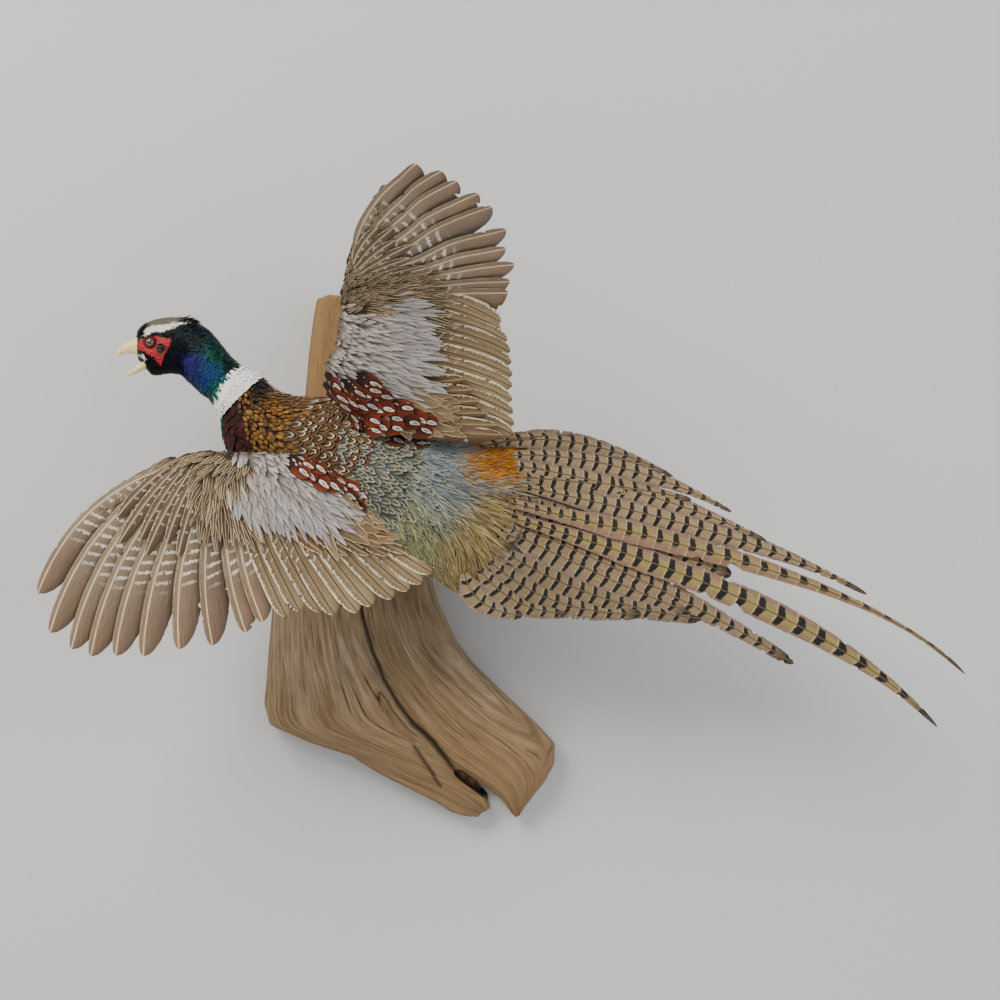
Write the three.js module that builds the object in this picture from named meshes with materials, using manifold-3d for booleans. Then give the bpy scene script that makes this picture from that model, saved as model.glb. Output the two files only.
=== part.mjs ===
// A ring-necked pheasant cock in flight: a life-size taxidermy mount on a driftwood base that hangs on a wall.
// Millimetres. The wall is the plane y = 0 and the bird is on its -Y side, +Z is up, and the bird flies
// towards -X with its back to the room. Its right wing is the upper one, its left wing the lower one.
// The origin is the middle of the base's flat back.

import * as THREE from "three";
import { mergeVertices } from "three/addons/utils/BufferGeometryUtils.js";
import Module from "manifold-3d";

const wasm = await Module();
wasm.setup();

// ---- driving dimensions ----

const GAP = 0.35;               // clearance between pieces that touch
const VANE = 1.1;               // thickness of a flight feather's blade
const DEPTH = new THREE.Vector3(0, 1, 0);

// Sections of the bird from forehead to tail coverts, each through an edge point on the crown-and-back side
// and one on the throat-and-belly side: [upper x, upper z, lower x, lower z, middle y, half depth].
const BODY_LINE = [
  [-214, 161, -211, 137, -158, 8],
  [-208, 172, -204, 134, -158, 13],
  [-198, 178, -196, 124.5, -158, 16],
  [-180, 181.5, -180, 126, -158, 17.5],
  [-160, 181, -168, 125, -158, 18],
  [-149, 174, -161, 119, -158, 18.5],
  [-139, 167, -153, 112, -158, 19],
  [-128, 154, -147, 106, -158, 20],
  [-116, 140, -141, 102.5, -157, 22.5],
  [-103, 131, -137, 98, -156, 24.5],
  [-88, 123, -128, 79, -155, 28],
  [-78, 112, -124, 56, -152, 36],
  [-60, 104, -110, 28, -150, 47],
  [-35, 101, -80, 0, -149, 55],
  [10, 99, -34, -22, -148, 59],
  [58, 78, 12, -42, -148, 59],
  [104, 58, 62, -64, -149, 51],
  [142, 54, 106, -88, -152, 36],
  [172, 55, 142, -100, -157, 20],
  [206, 44, 186, -98, -161, 11],
  [246, 20, 232, -88, -163, 5],
];
// Where one tract of the body line ends and the next begins, counted in sections of BODY_LINE.
const NECK_FROM = 4.6;
const COLLAR_FROM = 9;
const TRUNK_FROM = 10;
const RUMP_FROM = 16.5;

// Bill halves in sections of the same kind, eyeballs, and the bare spurs and toes of the folded legs.
const BILL_UPPER_LINE = [
  [-206, 162, -204, 144, -158, 7.5],
  [-216, 159, -212, 149, -158, 5.8],
  [-222, 156.6, -220, 147.6, -158, 4.2],
  [-228.5, 153, -226, 146, -158, 2.9],
  [-233.4, 143.5, -231, 142.5, -158, 1.1],
];
const BILL_LOWER_LINE = [
  [-200, 141, -199, 132, -158, 6.4],
  [-208, 135.6, -207, 129.5, -158, 5],
  [-215, 130.5, -214, 125.6, -158, 3.4],
  [-222, 126, -221, 123.6, -158, 1.2],
];
const EYE_RADIUS = 5.8;
const EYE_AT = [-196, 11.2, 156];   // x, distance from the head's middle, z
const HEAD_MIDDLE = -158;

// Legs folded back under the tail: sections of the feathered thigh and shank, of the same kind again.
const THIGH_LINE = [
  [8, 12, 6, -12, -100, 12],
  [34, 13, 27, -20, -96, 14],
  [62, 0, 55, -23, -92, 10],
  [85, -14, 83, -25, -91, 5.5],
];
const TARSUS_LENGTH = 66;
const TARSUS_RADIUS = 3.4;
const TOE_LENGTHS = [36, 46, 38];
const TOE_RADIUS = 2.6;
const HALLUX_LENGTH = 16;
const SPUR_LENGTH = 13;
const LEG_SPREAD = 50;              // between the two legs, along Z

// One wing lies in its own sheet: s runs out along the arm from the wrist, t back towards the feather tips,
// c stands off the upper surface. Arm stations are [s, leading t, trailing t, middle c, thickness].
const LEFT_WING = {
  wrist: [-103.5, -222, 38.6],
  yaw: 15, pitch: -4, handPitch: -4, mirrored: false,
  arm: [
    [-116, 8, 78, -6, 30], [-95, 0, 74, -3, 28], [-60, -5, 62, 0, 21], [-25, -7, 54, 0, 17],
    [0, -7, 50, 0, 14], [31, -8, 46, 0, 11], [64, 1, 45, 0, 8], [91, 14, 50, 0, 6],
    [120, 33, 62, 0, 4.4], [144, 53, 74, 0, 3.2],
  ],
  primaryTips: [
    [187, 126], [176, 163], [156, 179], [138, 186], [115, 186],
    [89, 187], [55, 181], [23, 178], [-9, 166], [-25, 156],
  ],
  secondaryTips: [
    [-48, 151], [-61, 146], [-81, 147], [-95, 150], [-118, 148], [-132, 142],
    [-153, 135], [-169, 127], [-182, 120], [-192, 110], [-196, 98],
  ],
  handRoot: [66, 12], wristRoot: [2, 16], elbowRoot: [-96, 30], bow: 15,
};
const RIGHT_WING = {
  wrist: [5.6, -262, 186],
  yaw: 0, pitch: 28, handPitch: 52, mirrored: true,
  arm: [
    [-122, -4, 84, -18, 50], [-94, -24, 84, -14, 44], [-64, -22, 80, -4, 30], [-38, -11, 75, 0, 20],
    [-7, -7, 67, 0, 16], [12, -4, 60, 0, 13], [51, 4, 51, 0, 10], [83, 13, 47, 0, 7],
    [114, 25, 47, 0, 5], [138, 37, 50, 0, 3.4],
  ],
  primaryTips: [
    [171, 71], [162, 93], [149, 106], [132, 125], [115, 137],
    [85, 150], [60, 150], [39, 158], [18, 154], [4, 152],
  ],
  secondaryTips: [
    [-24, 145], [-31, 145], [-43, 151], [-55, 154], [-67, 155], [-80, 156],
    [-92, 156], [-106, 156], [-120, 157], [-133, 158], [-143, 157],
  ],
  handRoot: [62, 12], wristRoot: [2, 14], elbowRoot: [-112, 14], bow: 9,
};
const PRIMARY_WIDTH = 23;
const SECONDARY_WIDTH = 29;

// Tail feathers as cubic curves in the picture plane: [root, first handle, second handle, tip, width].
const TAIL_LONG_UPPER = [[[150, 0], [289, -36], [517, -75], [612, -173], 23]];
const TAIL_LONG_LOWER = [[[200, -24], [328, -65], [497, -129], [585, -226], 25]];
const TAIL_RIGHT_SIDE = [
  [[170, 14], [300, -13], [420, -40], [515, -94], 22],
  [[190, 28], [270, 20], [350, -8], [415, -41], 21],
  [[160, 44], [240, 48], [320, 22], [380, -12], 19],
  [[140, 54], [200, 70], [270, 52], [322, 23], 16],
  [[130, 52], [160, 61], [195, 65], [224, 64], 11],
  [[180, 22], [240, 18], [290, 13], [340, 0], 24],
];
const TAIL_LEFT_SIDE = [
  [[165, -24], [250, -60], [350, -103], [442, -163], 22],
  [[190, -8], [260, -30], [330, -52], [380, -75], 28],
  [[170, -35], [220, -60], [280, -90], [340, -112], 27],
  [[150, -48], [210, -90], [290, -112], [350, -118], 24],
  [[140, -60], [180, -98], [230, -114], [290, -113], 24],
  [[130, -68], [150, -96], [180, -112], [215, -112], 22],
  [[115, -72], [120, -95], [135, -110], [172, -114], 20],
];
const TAIL_LAYERS = { longUpper: -170.5, longLower: -168.6, rightSide: -166.6, leftSide: -164.6 };
const TAIL_LIFT = 0.02;             // how far the tail leans back to the wall for each millimetre of length

// The driftwood's three lobes: [left x, left z, right x, right z, thickness] from one end to the other.
const WOOD_STRIP = [
  [-64, -10, 20, 0, 52],
  [-62, 60, 4, 60, 52],
  [-57, 106, -8, 106, 48],
  [-54, 146, -10, 146, 44],
  [-50, 184, -12, 184, 40],
  [-45, 214, -14, 217, 36],
];
const WOOD_LEFT = [
  [-80, 40, 10, 30, 50],
  [-84, -40, 14, -40, 62],
  [-95, -124, 9, -120, 66],
  [-99, -204, 37, -210, 64],
  [-101, -234, 54, -238, 60],
  [-56, -256, 70, -252, 56],
  [-2, -274, 90, -272, 50],
  [29, -296, 104, -282, 44],
  [72, -314, 120, -297, 38],
  [98, -332, 136, -312, 32],
  [124, -337, 139, -330, 24],
];
const WOOD_RIGHT = [
  [-14, 40, 50, 30, 50],
  [-2, -30, 66, -30, 62],
  [2, -104, 79, -94, 70],
  [10, -150, 104, -150, 72],
  [24, -184, 130, -182, 70],
  [54, -234, 172, -222, 64],
  [86, -272, 209, -258, 56],
  [118, -294, 206, -286, 46],
  [144, -312, 190, -310, 36],
  [164, -336, 172, -338, 20],
];
const EDGE_SQUARENESS = 0.4;        // 1 rounds a lobe like an ellipse, 0 leaves it square
const POCKET = [44, 7, 18];         // recess for the hanger in the base's back: x, y, z
const HANGER = [40, 1.6, 14];
const HANGER_AT = [-30, 0, 84];
const SLOT = [22, 5];               // the hanger's nail slot
const ROD_RADIUS = 5;
const ROD_AT = [-6, 24];            // x, z of the steel rod between base and belly

// ---- solids ----

// Joins shared corners and hands the mesh to the solid modeller, turned right side out.
function solid(geometry) {
  geometry.deleteAttribute("normal");
  geometry.deleteAttribute("uv");
  const merged = mergeVertices(geometry, 1e-4);
  const vertProperties = Float32Array.from(merged.attributes.position.array);
  const triVerts = Uint32Array.from(merged.index.array);
  const made = new wasm.Manifold(new wasm.Mesh({ numProp: 3, vertProperties, triVerts }));
  if (made.volume() > 0) return made;
  for (let i = 0; i < triVerts.length; i += 3) {
    [triVerts[i], triVerts[i + 1]] = [triVerts[i + 1], triVerts[i]];
  }
  return new wasm.Manifold(new wasm.Mesh({ numProp: 3, vertProperties, triVerts }));
}

function joined(solids) {
  return solids.reduce((all, one) => all.add(one));
}

// What is left of a piece after its neighbours are cut from it, without loose crumbs.
function cut(piece, ...neighbours) {
  const left = neighbours.reduce((rest, one) => rest.subtract(one), piece);
  return left.decompose().reduce((best, one) => (one.volume() > best.volume() ? one : best));
}

function geometryOf(made) {
  const mesh = made.getMesh();
  const geometry = new THREE.BufferGeometry();
  geometry.setAttribute("position", new THREE.BufferAttribute(Float32Array.from(mesh.vertProperties), 3));
  geometry.setIndex(new THREE.BufferAttribute(Uint32Array.from(mesh.triVerts), 1));
  return geometry;
}

// Moves every corner of a geometry to place(corner).
function reshape(geometry, place) {
  const position = geometry.attributes.position;
  const corner = new THREE.Vector3();
  for (let i = 0; i < position.count; i += 1) {
    corner.fromBufferAttribute(position, i);
    position.setXYZ(i, ...place(corner).toArray());
  }
  return geometry;
}

// Smooth value lists over a table's columns, by station number.
function columns(table) {
  const width = table[0].length;
  const curves = [];
  for (let c = 0; c < width; c += 3) {
    const points = table.map((row) => new THREE.Vector3(row[c], row[c + 1] ?? 0, row[c + 2] ?? 0));
    curves.push(new THREE.CatmullRomCurve3(points, false, "catmullrom", 0.5));
  }
  const last = table.length - 1;
  return (station) => {
    const t = THREE.MathUtils.clamp(station / last, 0, 1);
    return curves.flatMap((curve) => curve.getPoint(t).toArray()).slice(0, width);
  };
}

// A round body through sections [upper x, upper z, lower x, lower z, middle y, half depth], from one
// section number to another; it can be grown outwards on all sides.
function loft(table, sides, rings, { from = 0, to = table.length - 1, grow = 0 } = {}) {
  const at = columns(table);
  const onwards = Math.sign(table.at(-1)[2] - table[0][2]);
  const place = (corner) => {
    const [upperX, upperZ, lowerX, lowerZ, middle, deep] = at(from + (corner.y + 0.5) * (to - from));
    const upper = new THREE.Vector2(upperX, upperZ);
    const lower = new THREE.Vector2(lowerX, lowerZ);
    const across = upper.clone().sub(lower).normalize();
    const past = Math.abs(corner.y) === 0.5 ? Math.sign(corner.y) * grow * onwards : 0;
    const here = lower.lerp(upper, (1 + corner.x) / 2).addScaledVector(across, corner.x * grow);
    return new THREE.Vector3(here.x + across.y * past, middle + corner.z * (deep + grow), here.y - across.x * past);
  };
  return solid(reshape(new THREE.CylinderGeometry(1, 1, 1, sides, rings), place));
}

// ---- head, neck and trunk ----

const SEAM = 0.02;                  // half a seam between two tracts, in stations
const TRACTS = {
  head: { from: 0, to: NECK_FROM - SEAM, rings: 10 },
  neck: { from: NECK_FROM + SEAM, to: COLLAR_FROM - SEAM, rings: 8 },
  collar: { from: COLLAR_FROM + SEAM, to: TRUNK_FROM - SEAM, rings: 3 },
  trunk: { from: TRUNK_FROM + SEAM, to: RUMP_FROM - SEAM, rings: 13 },
  rump: { from: RUMP_FROM + SEAM, to: BODY_LINE.length - 1, rings: 8 },
};
const BODY_SIDES = 16;
const tract = ({ from, to, rings }, grow = 0) => loft(BODY_LINE, BODY_SIDES, rings, { from, to, grow });
const wholeBody = joined(Object.values(TRACTS).map((one) => tract(one, GAP)));

function eyeball(side, grow = 0) {
  const ball = new THREE.SphereGeometry(EYE_RADIUS + grow, 12, 7);
  ball.translate(EYE_AT[0], HEAD_MIDDLE + side * EYE_AT[1], EYE_AT[2]);
  return solid(ball);
}

const head = cut(tract(TRACTS.head), eyeball(-1, GAP), eyeball(1, GAP));
const billUpper = cut(loft(BILL_UPPER_LINE, 10, 10), wholeBody);
const billLower = cut(loft(BILL_LOWER_LINE, 10, 7), wholeBody, loft(BILL_UPPER_LINE, 10, 10, { grow: GAP }));

// ---- feathers ----

// A flat blade with a rounded tip, along a curve given by point(u) for u from 0 to 1.
function blade(point, width, { grow = 0, steps = 6, taper = 0, rootShare = 0.45 } = {}) {
  const left = [];
  const right = [];
  for (let i = 0; i <= steps; i += 1) {
    const u = 1 - (1 - i / steps) ** 1.4;
    const here = point(u);
    const ahead = point(Math.min(u + 0.01, 1)).sub(point(Math.min(u + 0.01, 1) - 0.02)).normalize();
    const swell = THREE.MathUtils.lerp(rootShare, 1, THREE.MathUtils.smoothstep(u, 0, 0.4));
    const round = Math.sqrt(Math.max(1 - Math.max((u - 0.88) / 0.12, 0) ** 2, 0.04));
    const slim = 1 - taper * THREE.MathUtils.smoothstep(u, 0.35, 1);
    const half = (width / 2) * swell * round * slim + grow;
    left.push(new THREE.Vector2(here.x - ahead.y * half, here.y + ahead.x * half));
    right.unshift(new THREE.Vector2(here.x + ahead.y * half, here.y - ahead.x * half));
  }
  const shape = new THREE.Shape([...left, ...right]);
  const thick = VANE + 2 * grow;
  const flat = new THREE.ExtrudeGeometry(shape, { depth: thick, bevelEnabled: false });
  flat.translate(0, 0, -thick / 2);
  return solid(flat);
}

// A curve from root to tip that bows sideways by the given amount.
function bowed(root, tip, bow) {
  const from = new THREE.Vector2(...root);
  const to = new THREE.Vector2(...tip);
  const aside = new THREE.Vector2(to.y - from.y, from.x - to.x).normalize();
  return (u) => from.clone().lerp(to, u).addScaledVector(aside, bow * 4 * u * (1 - u));
}

function fan(tips, rootFrom, rootTo, width, bow, grow) {
  const blades = tips.map((tip, i) => {
    const share = i / (tips.length - 1);
    const root = [0, 1].map((k) => THREE.MathUtils.lerp(rootFrom[k], rootTo[k], share));
    return blade(bowed(root, tip, bow * (1 - share)), width, { grow });
  });
  return joined(blades);
}

// The wing's sheets in space, one for the forearm's half and one for the hand's half, which meet at the wrist.
function wingSheets({ wrist, yaw, pitch, handPitch, mirrored }) {
  const sheet = (angle) => {
    const [y, p] = [yaw, angle].map(THREE.MathUtils.degToRad);
    const level = new THREE.Vector3(Math.cos(y), Math.sin(y), 0);
    const upright = new THREE.Vector3(Math.sin(p) * Math.sin(y), -Math.sin(p) * Math.cos(y), Math.cos(p));
    const out = new THREE.Vector3().crossVectors(level, upright);
    return (corner) => {
      const [a, b] = mirrored ? [corner.y, corner.x] : [-corner.x, -corner.y];
      return new THREE.Vector3(...wrist)
        .addScaledVector(level, a)
        .addScaledVector(upright, b)
        .addScaledVector(out, corner.z);
    };
  };
  const forearm = sheet(pitch);
  const hand = sheet(handPitch);
  return { forearm, hand, both: (corner) => (corner.x > 0 ? hand(corner) : forearm(corner)) };
}

// The fleshy arm with its coverts, as a lens that thins towards the hand.
function armLens(wing, grow = 0) {
  const table = wing.arm.map(([s, lead, trail, middle, thick]) => [s, trail, s, lead, middle, thick / 2]);
  const upright = loft(table, 12, 13, { grow });
  return solid(reshape(geometryOf(upright), (corner) => new THREE.Vector3(corner.x, corner.z, corner.y)));
}

function makeWing(wing) {
  const { forearm, hand, both } = wingSheets(wing);
  const inSpace = (flat, sheet) => solid(reshape(geometryOf(flat), sheet));
  const { primaryTips, secondaryTips, handRoot, wristRoot, elbowRoot, bow } = wing;
  const primaries = (grow) => inSpace(fan(primaryTips, handRoot, wristRoot, PRIMARY_WIDTH, bow, grow), hand);
  const secondaries = inSpace(fan(secondaryTips, wristRoot, elbowRoot, SECONDARY_WIDTH, 0, 0), forearm);
  const clear = [wholeBody, inSpace(armLens(wing, GAP), both)];
  return {
    arm: cut(inSpace(armLens(wing), both), wholeBody),
    primaries: cut(primaries(0), ...clear),
    secondaries: cut(secondaries, ...clear, primaries(GAP)),
  };
}

const leftWing = makeWing(LEFT_WING);
const rightWing = makeWing(RIGHT_WING);

// ---- tail ----

function tailLayer(feathers, layer, options) {
  const blades = feathers.map(([root, first, second, tip, width]) => {
    const curve = new THREE.CubicBezierCurve(...[root, first, second, tip].map((p) => new THREE.Vector2(...p)));
    return blade((u) => curve.getPoint(u), width, options);
  });
  const stand = (corner) =>
    new THREE.Vector3(corner.x, layer - corner.z + TAIL_LIFT * (corner.x - BODY_LINE.at(-1)[0]), corner.y);
  return cut(solid(reshape(geometryOf(joined(blades)), stand)), wholeBody);
}

const tailLongUpper = tailLayer(TAIL_LONG_UPPER, TAIL_LAYERS.longUpper, { steps: 14, taper: 0.8 });
const tailLongLower = tailLayer(TAIL_LONG_LOWER, TAIL_LAYERS.longLower, { steps: 14, taper: 0.75 });
const tailRightSide = tailLayer(TAIL_RIGHT_SIDE, TAIL_LAYERS.rightSide, { steps: 7, taper: 0.75 });
const tailLeftSide = tailLayer(TAIL_LEFT_SIDE, TAIL_LAYERS.leftSide, { steps: 7, taper: 0.6 });

// ---- legs ----

// A round limb between two points that thins from one radius to the other.
function limb(from, to, radiusFrom, radiusTo, sides = 8) {
  const start = new THREE.Vector3(...from);
  const along = new THREE.Vector3(...to).sub(start);
  const rod = new THREE.CylinderGeometry(radiusTo, radiusFrom, along.length(), sides, 1);
  rod.translate(0, along.length() / 2, 0);
  rod.applyQuaternion(new THREE.Quaternion().setFromUnitVectors(DEPTH, along.clone().normalize()));
  rod.translate(...start.toArray());
  return solid(rod);
}

// Shank and foot stretch back under the tail; the toes are half closed.
function makeLeg(side) {
  const shift = (side * LEG_SPREAD) / 2;
  const table = THIGH_LINE.map(([ux, uz, lx, lz, y, deep]) => [ux, uz + shift, lx, lz + shift, y, deep]);
  const [upperX, upperZ, lowerX, lowerZ, middle] = table.at(-1);
  const ankle = [(upperX + lowerX) / 2, middle, (upperZ + lowerZ) / 2];
  const pad = [ankle[0] + TARSUS_LENGTH * 0.97, ankle[1] + 3, ankle[2] - TARSUS_LENGTH * 0.24];
  const spurRoot = new THREE.Vector3(...ankle).lerp(new THREE.Vector3(...pad), 0.6).toArray();
  const spurTip = [spurRoot[0] + 4, spurRoot[1] + SPUR_LENGTH - 3, spurRoot[2] + side * 3];
  const pieces = [
    limb(ankle, pad, TARSUS_RADIUS * 1.15, TARSUS_RADIUS, 8),
    solid(new THREE.SphereGeometry(TARSUS_RADIUS * 1.35, 7, 5).translate(...pad)),
    limb(spurRoot, spurTip, 2.4, 0.6, 5),
    limb(pad, [pad[0] + 6, pad[1] + HALLUX_LENGTH, pad[2] + 2], TOE_RADIUS, 1, 5),
  ];
  TOE_LENGTHS.forEach((length, i) => {
    const spread = (i - 1) * 0.25;
    const knuckle = [pad[0] + length * 0.55, pad[1] + 2, pad[2] + length * (spread - 0.16)];
    const claw = [knuckle[0] + length * 0.35, pad[1] + length * 0.32, knuckle[2] + length * (spread - 0.1)];
    pieces.push(limb(pad, knuckle, TOE_RADIUS, TOE_RADIUS * 0.85, 5));
    pieces.push(limb(knuckle, claw, TOE_RADIUS * 0.85, 0.7, 5));
  });
  const clear = loft(table, 12, 6, { grow: GAP });
  return { thigh: cut(loft(table, 12, 6), wholeBody), foot: cut(joined(pieces), clear, wholeBody) };
}

const leftLeg = makeLeg(-1);
const rightLeg = makeLeg(1);

// ---- base ----

// A lobe of wood with a flat back on the wall and a rounded front.
function lobe(table, rings) {
  const at = columns(table);
  const place = (corner) => {
    const [leftX, leftZ, rightX, rightZ, thick] = at((corner.y + 0.5) * (table.length - 1));
    const share = (1 + corner.x) / 2;
    const front = -thick * Math.max(corner.z, 0) ** EDGE_SQUARENESS;
    return new THREE.Vector3(
      THREE.MathUtils.lerp(leftX, rightX, share), front, THREE.MathUtils.lerp(leftZ, rightZ, share));
  };
  return solid(reshape(new THREE.CylinderGeometry(1, 1, 1, 14, rings), place));
}

function boxAt(size, at) {
  return solid(new THREE.BoxGeometry(...size).translate(...at));
}

const rod = limb([ROD_AT[0], -40, ROD_AT[1]], [ROD_AT[0], -100, ROD_AT[1]], ROD_RADIUS, ROD_RADIUS, 16);
const rodHole = limb(
  [ROD_AT[0], -30, ROD_AT[1]], [ROD_AT[0], -110, ROD_AT[1]], ROD_RADIUS + GAP, ROD_RADIUS + GAP, 16);
const lobes = joined([lobe(WOOD_STRIP, 6), lobe(WOOD_LEFT, 12), lobe(WOOD_RIGHT, 12)]);
const driftwood = cut(lobes, boxAt(POCKET, HANGER_AT), rodHole);
const mountRod = cut(rod, wholeBody);
const slot = boxAt([SLOT[0], 3 * HANGER[1], SLOT[1]], [HANGER_AT[0], -GAP - HANGER[1] / 2, HANGER_AT[2] - 1]);
const hanger = boxAt(HANGER, [HANGER_AT[0], -GAP - HANGER[1] / 2, HANGER_AT[2]]).subtract(slot);

// ---- the mount ----

function mesh(name, made, color, roughness, metalness = 0) {
  const material = new THREE.MeshStandardMaterial({ color, roughness, metalness });
  const piece = new THREE.Mesh(geometryOf(made), material);
  piece.name = name;
  return piece;
}

function wingGroup(side, wing) {
  const group = new THREE.Group();
  group.add(mesh(`wing_${side}_arm`, wing.arm, "#a99f96", 0.85));
  group.add(mesh(`wing_${side}_primaries`, wing.primaries, "#8a765e", 0.8));
  group.add(mesh(`wing_${side}_secondaries`, wing.secondaries, "#a98e6a", 0.8));
  return group;
}

function legGroup(side, leg) {
  const group = new THREE.Group();
  group.add(mesh(`leg_${side}_thigh`, leg.thigh, "#2c1d15", 0.9));
  group.add(mesh(`leg_${side}_foot`, leg.foot, "#7d7468", 0.55));
  return group;
}

const birdHead = new THREE.Group();
birdHead.add(mesh("head", head, "#17402f", 0.6));
birdHead.add(mesh("bill_upper", billUpper, "#e2d49b", 0.4));
birdHead.add(mesh("bill_lower", billLower, "#d9c98d", 0.4));
birdHead.add(mesh("eye_left", eyeball(-1), "#1a0f0a", 0.1));
birdHead.add(mesh("eye_right", eyeball(1), "#1a0f0a", 0.1));

const birdBody = new THREE.Group();
birdBody.add(mesh("neck", tract(TRACTS.neck), "#16345e", 0.55));
birdBody.add(mesh("collar", tract(TRACTS.collar), "#f3f0ee", 0.9));
birdBody.add(mesh("trunk", tract(TRACTS.trunk), "#a06a30", 0.85));
birdBody.add(mesh("rump", tract(TRACTS.rump), "#98997f", 0.9));

const birdTail = new THREE.Group();
birdTail.add(mesh("tail_long_upper", tailLongUpper, "#b08f63", 0.8));
birdTail.add(mesh("tail_long_lower", tailLongLower, "#a9994a", 0.8));
birdTail.add(mesh("tail_right_side", tailRightSide, "#b39a6c", 0.8));
birdTail.add(mesh("tail_left_side", tailLeftSide, "#b39a6c", 0.8));

const base = new THREE.Group();
base.add(mesh("driftwood", driftwood, "#8a6a4a", 0.85));
base.add(mesh("mount_rod", mountRod, "#8d8d90", 0.4, 1));
base.add(mesh("wall_hanger", hanger, "#b9b9b6", 0.35, 1));

const mount = new THREE.Group();
mount.add(birdHead, birdBody, birdTail, base);
mount.add(wingGroup("left", leftWing), wingGroup("right", rightWing));
mount.add(legGroup("left", leftLeg), legGroup("right", rightLeg));

export default mount;
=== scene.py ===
# A ring-necked pheasant cock in flight, a taxidermy mount on a driftwood base that hangs on a wall.
# Metres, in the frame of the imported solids: the wall is the plane y = 0, the bird is on its -Y side,
# flies towards -X with its back to the room, and +Z is up.

import math
import bpy
import bmesh
import numpy as np
from mathutils import Matrix, Vector
from mathutils.kdtree import KDTree


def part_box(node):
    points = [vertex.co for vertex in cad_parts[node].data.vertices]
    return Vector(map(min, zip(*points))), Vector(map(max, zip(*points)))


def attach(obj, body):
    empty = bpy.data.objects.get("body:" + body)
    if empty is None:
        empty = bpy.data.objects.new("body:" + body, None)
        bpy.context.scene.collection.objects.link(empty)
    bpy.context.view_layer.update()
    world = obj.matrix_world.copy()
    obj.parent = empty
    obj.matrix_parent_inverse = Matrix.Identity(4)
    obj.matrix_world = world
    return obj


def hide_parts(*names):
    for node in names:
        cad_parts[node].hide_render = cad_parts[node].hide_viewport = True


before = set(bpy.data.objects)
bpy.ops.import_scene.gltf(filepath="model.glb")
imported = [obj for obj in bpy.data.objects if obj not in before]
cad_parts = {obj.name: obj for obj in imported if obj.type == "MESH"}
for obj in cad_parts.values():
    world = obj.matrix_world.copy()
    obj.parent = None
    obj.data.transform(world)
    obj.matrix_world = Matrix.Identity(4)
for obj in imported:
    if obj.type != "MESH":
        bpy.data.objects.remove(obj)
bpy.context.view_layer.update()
MM = 0.001


# ---- driftwood base ------------------------------------------------------------------------------
# A weathered root of softwood in three lobes, sawn flat at the back and across the top, sanded and left
# unvarnished. Its grain runs along each lobe in long ridges with dark drying cracks between them.

WOOD_STRIP = [
    (-64, -10, 20, 0), (-62, 60, 4, 60), (-57, 106, -8, 106), (-54, 146, -10, 146),
    (-50, 184, -12, 184), (-45, 214, -14, 217),
]
WOOD_LEFT = [
    (-80, 40, 10, 30), (-84, -40, 14, -40), (-95, -124, 9, -120), (-99, -204, 37, -210),
    (-101, -234, 54, -238), (-56, -256, 70, -252), (-2, -274, 90, -272), (29, -296, 104, -282),
    (72, -314, 120, -297), (98, -332, 136, -312), (124, -337, 139, -330),
]
WOOD_RIGHT = [
    (-14, 40, 50, 30), (-2, -30, 66, -30), (2, -104, 79, -94), (10, -150, 104, -150),
    (24, -184, 130, -182), (54, -234, 172, -222), (86, -272, 209, -258), (118, -294, 206, -286),
    (144, -312, 190, -310), (164, -336, 172, -338),
]
LOBE_SPLIT = [(-4, -40), (6, -119), (16, -157), (28, -188), (43.5, -215), (58, -235), (79, -256),
              (103, -287), (136, -313), (152, -330)]
SPLIT_FRONT = [58, 59.5, 58, 54, 50, 47, 44, 38]
SHORT_SPLIT = [(61, -259), (67, -268), (76, -283), (87, -303)]
SPLIT_BAR = 9.5                    # radius of the round bars that fill the split up to its floor
PLUG_AT, PLUG_SIZE = (46, -20, -216), (34, 28, 44)
WOOD_VOXEL = 2.1 * MM
RIDGE = 1.1 * MM                   # how far the grain's ridges stand out
RIDGE_PITCH = 5.5 * MM             # across the grain, from one ridge to the next


def linear(hex_colour, alpha=1.0):
    """An sRGB hex colour as the linear values that a shader takes."""
    parts = [int(hex_colour[i:i + 2], 16) / 255 for i in (1, 3, 5)]
    return tuple(c / 12.92 if c <= 0.04045 else ((c + 0.055) / 1.055) ** 2.4 for c in parts) + (alpha,)


def add(tree, kind, *inputs, ramp=(), out=None, **settings):
    """Adds one node and returns its first open output, or the one that out names.

    Inputs fill the node's open sockets in order. A setting with a capital letter is a socket too, the others
    are the node's own, and ramp lists (place, colour, cover). Colours are hex."""
    made = tree.nodes.new("ShaderNode" + kind)
    if kind == "Mix":
        made.data_type = "RGBA"
    given = {name.replace("_", " "): settings.pop(name) for name in list(settings) if name[0].isupper()}
    for name, value in settings.items():
        setattr(made, name, value)
    open_sockets = [socket for socket in made.inputs if socket.enabled]
    for socket, value in [*zip(open_sockets, inputs), *((made.inputs[name], given[name]) for name in given)]:
        if isinstance(value, bpy.types.NodeSocket):
            tree.links.new(value, socket)
        else:
            socket.default_value = linear(value) if isinstance(value, str) else value
    if ramp:
        stops = made.color_ramp.elements
        while len(stops) < len(ramp):
            stops.new(1.0)
        for stop, (place, colour, *cover) in zip(stops, ramp):
            stop.position = place
            stop.color = linear(colour, *cover)
    return made.outputs[out] if out else next(socket for socket in made.outputs if socket.enabled)


def start_material(name, **sockets):
    """A material and its Principled shader, with the sockets that are the same all over set on it."""
    material = bpy.data.materials.new(name)
    material.use_nodes = True
    shader = material.node_tree.nodes["Principled BSDF"]
    for socket, value in sockets.items():
        shader.inputs[socket.replace("_", " ")].default_value = value
    return material, material.node_tree, shader


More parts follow.
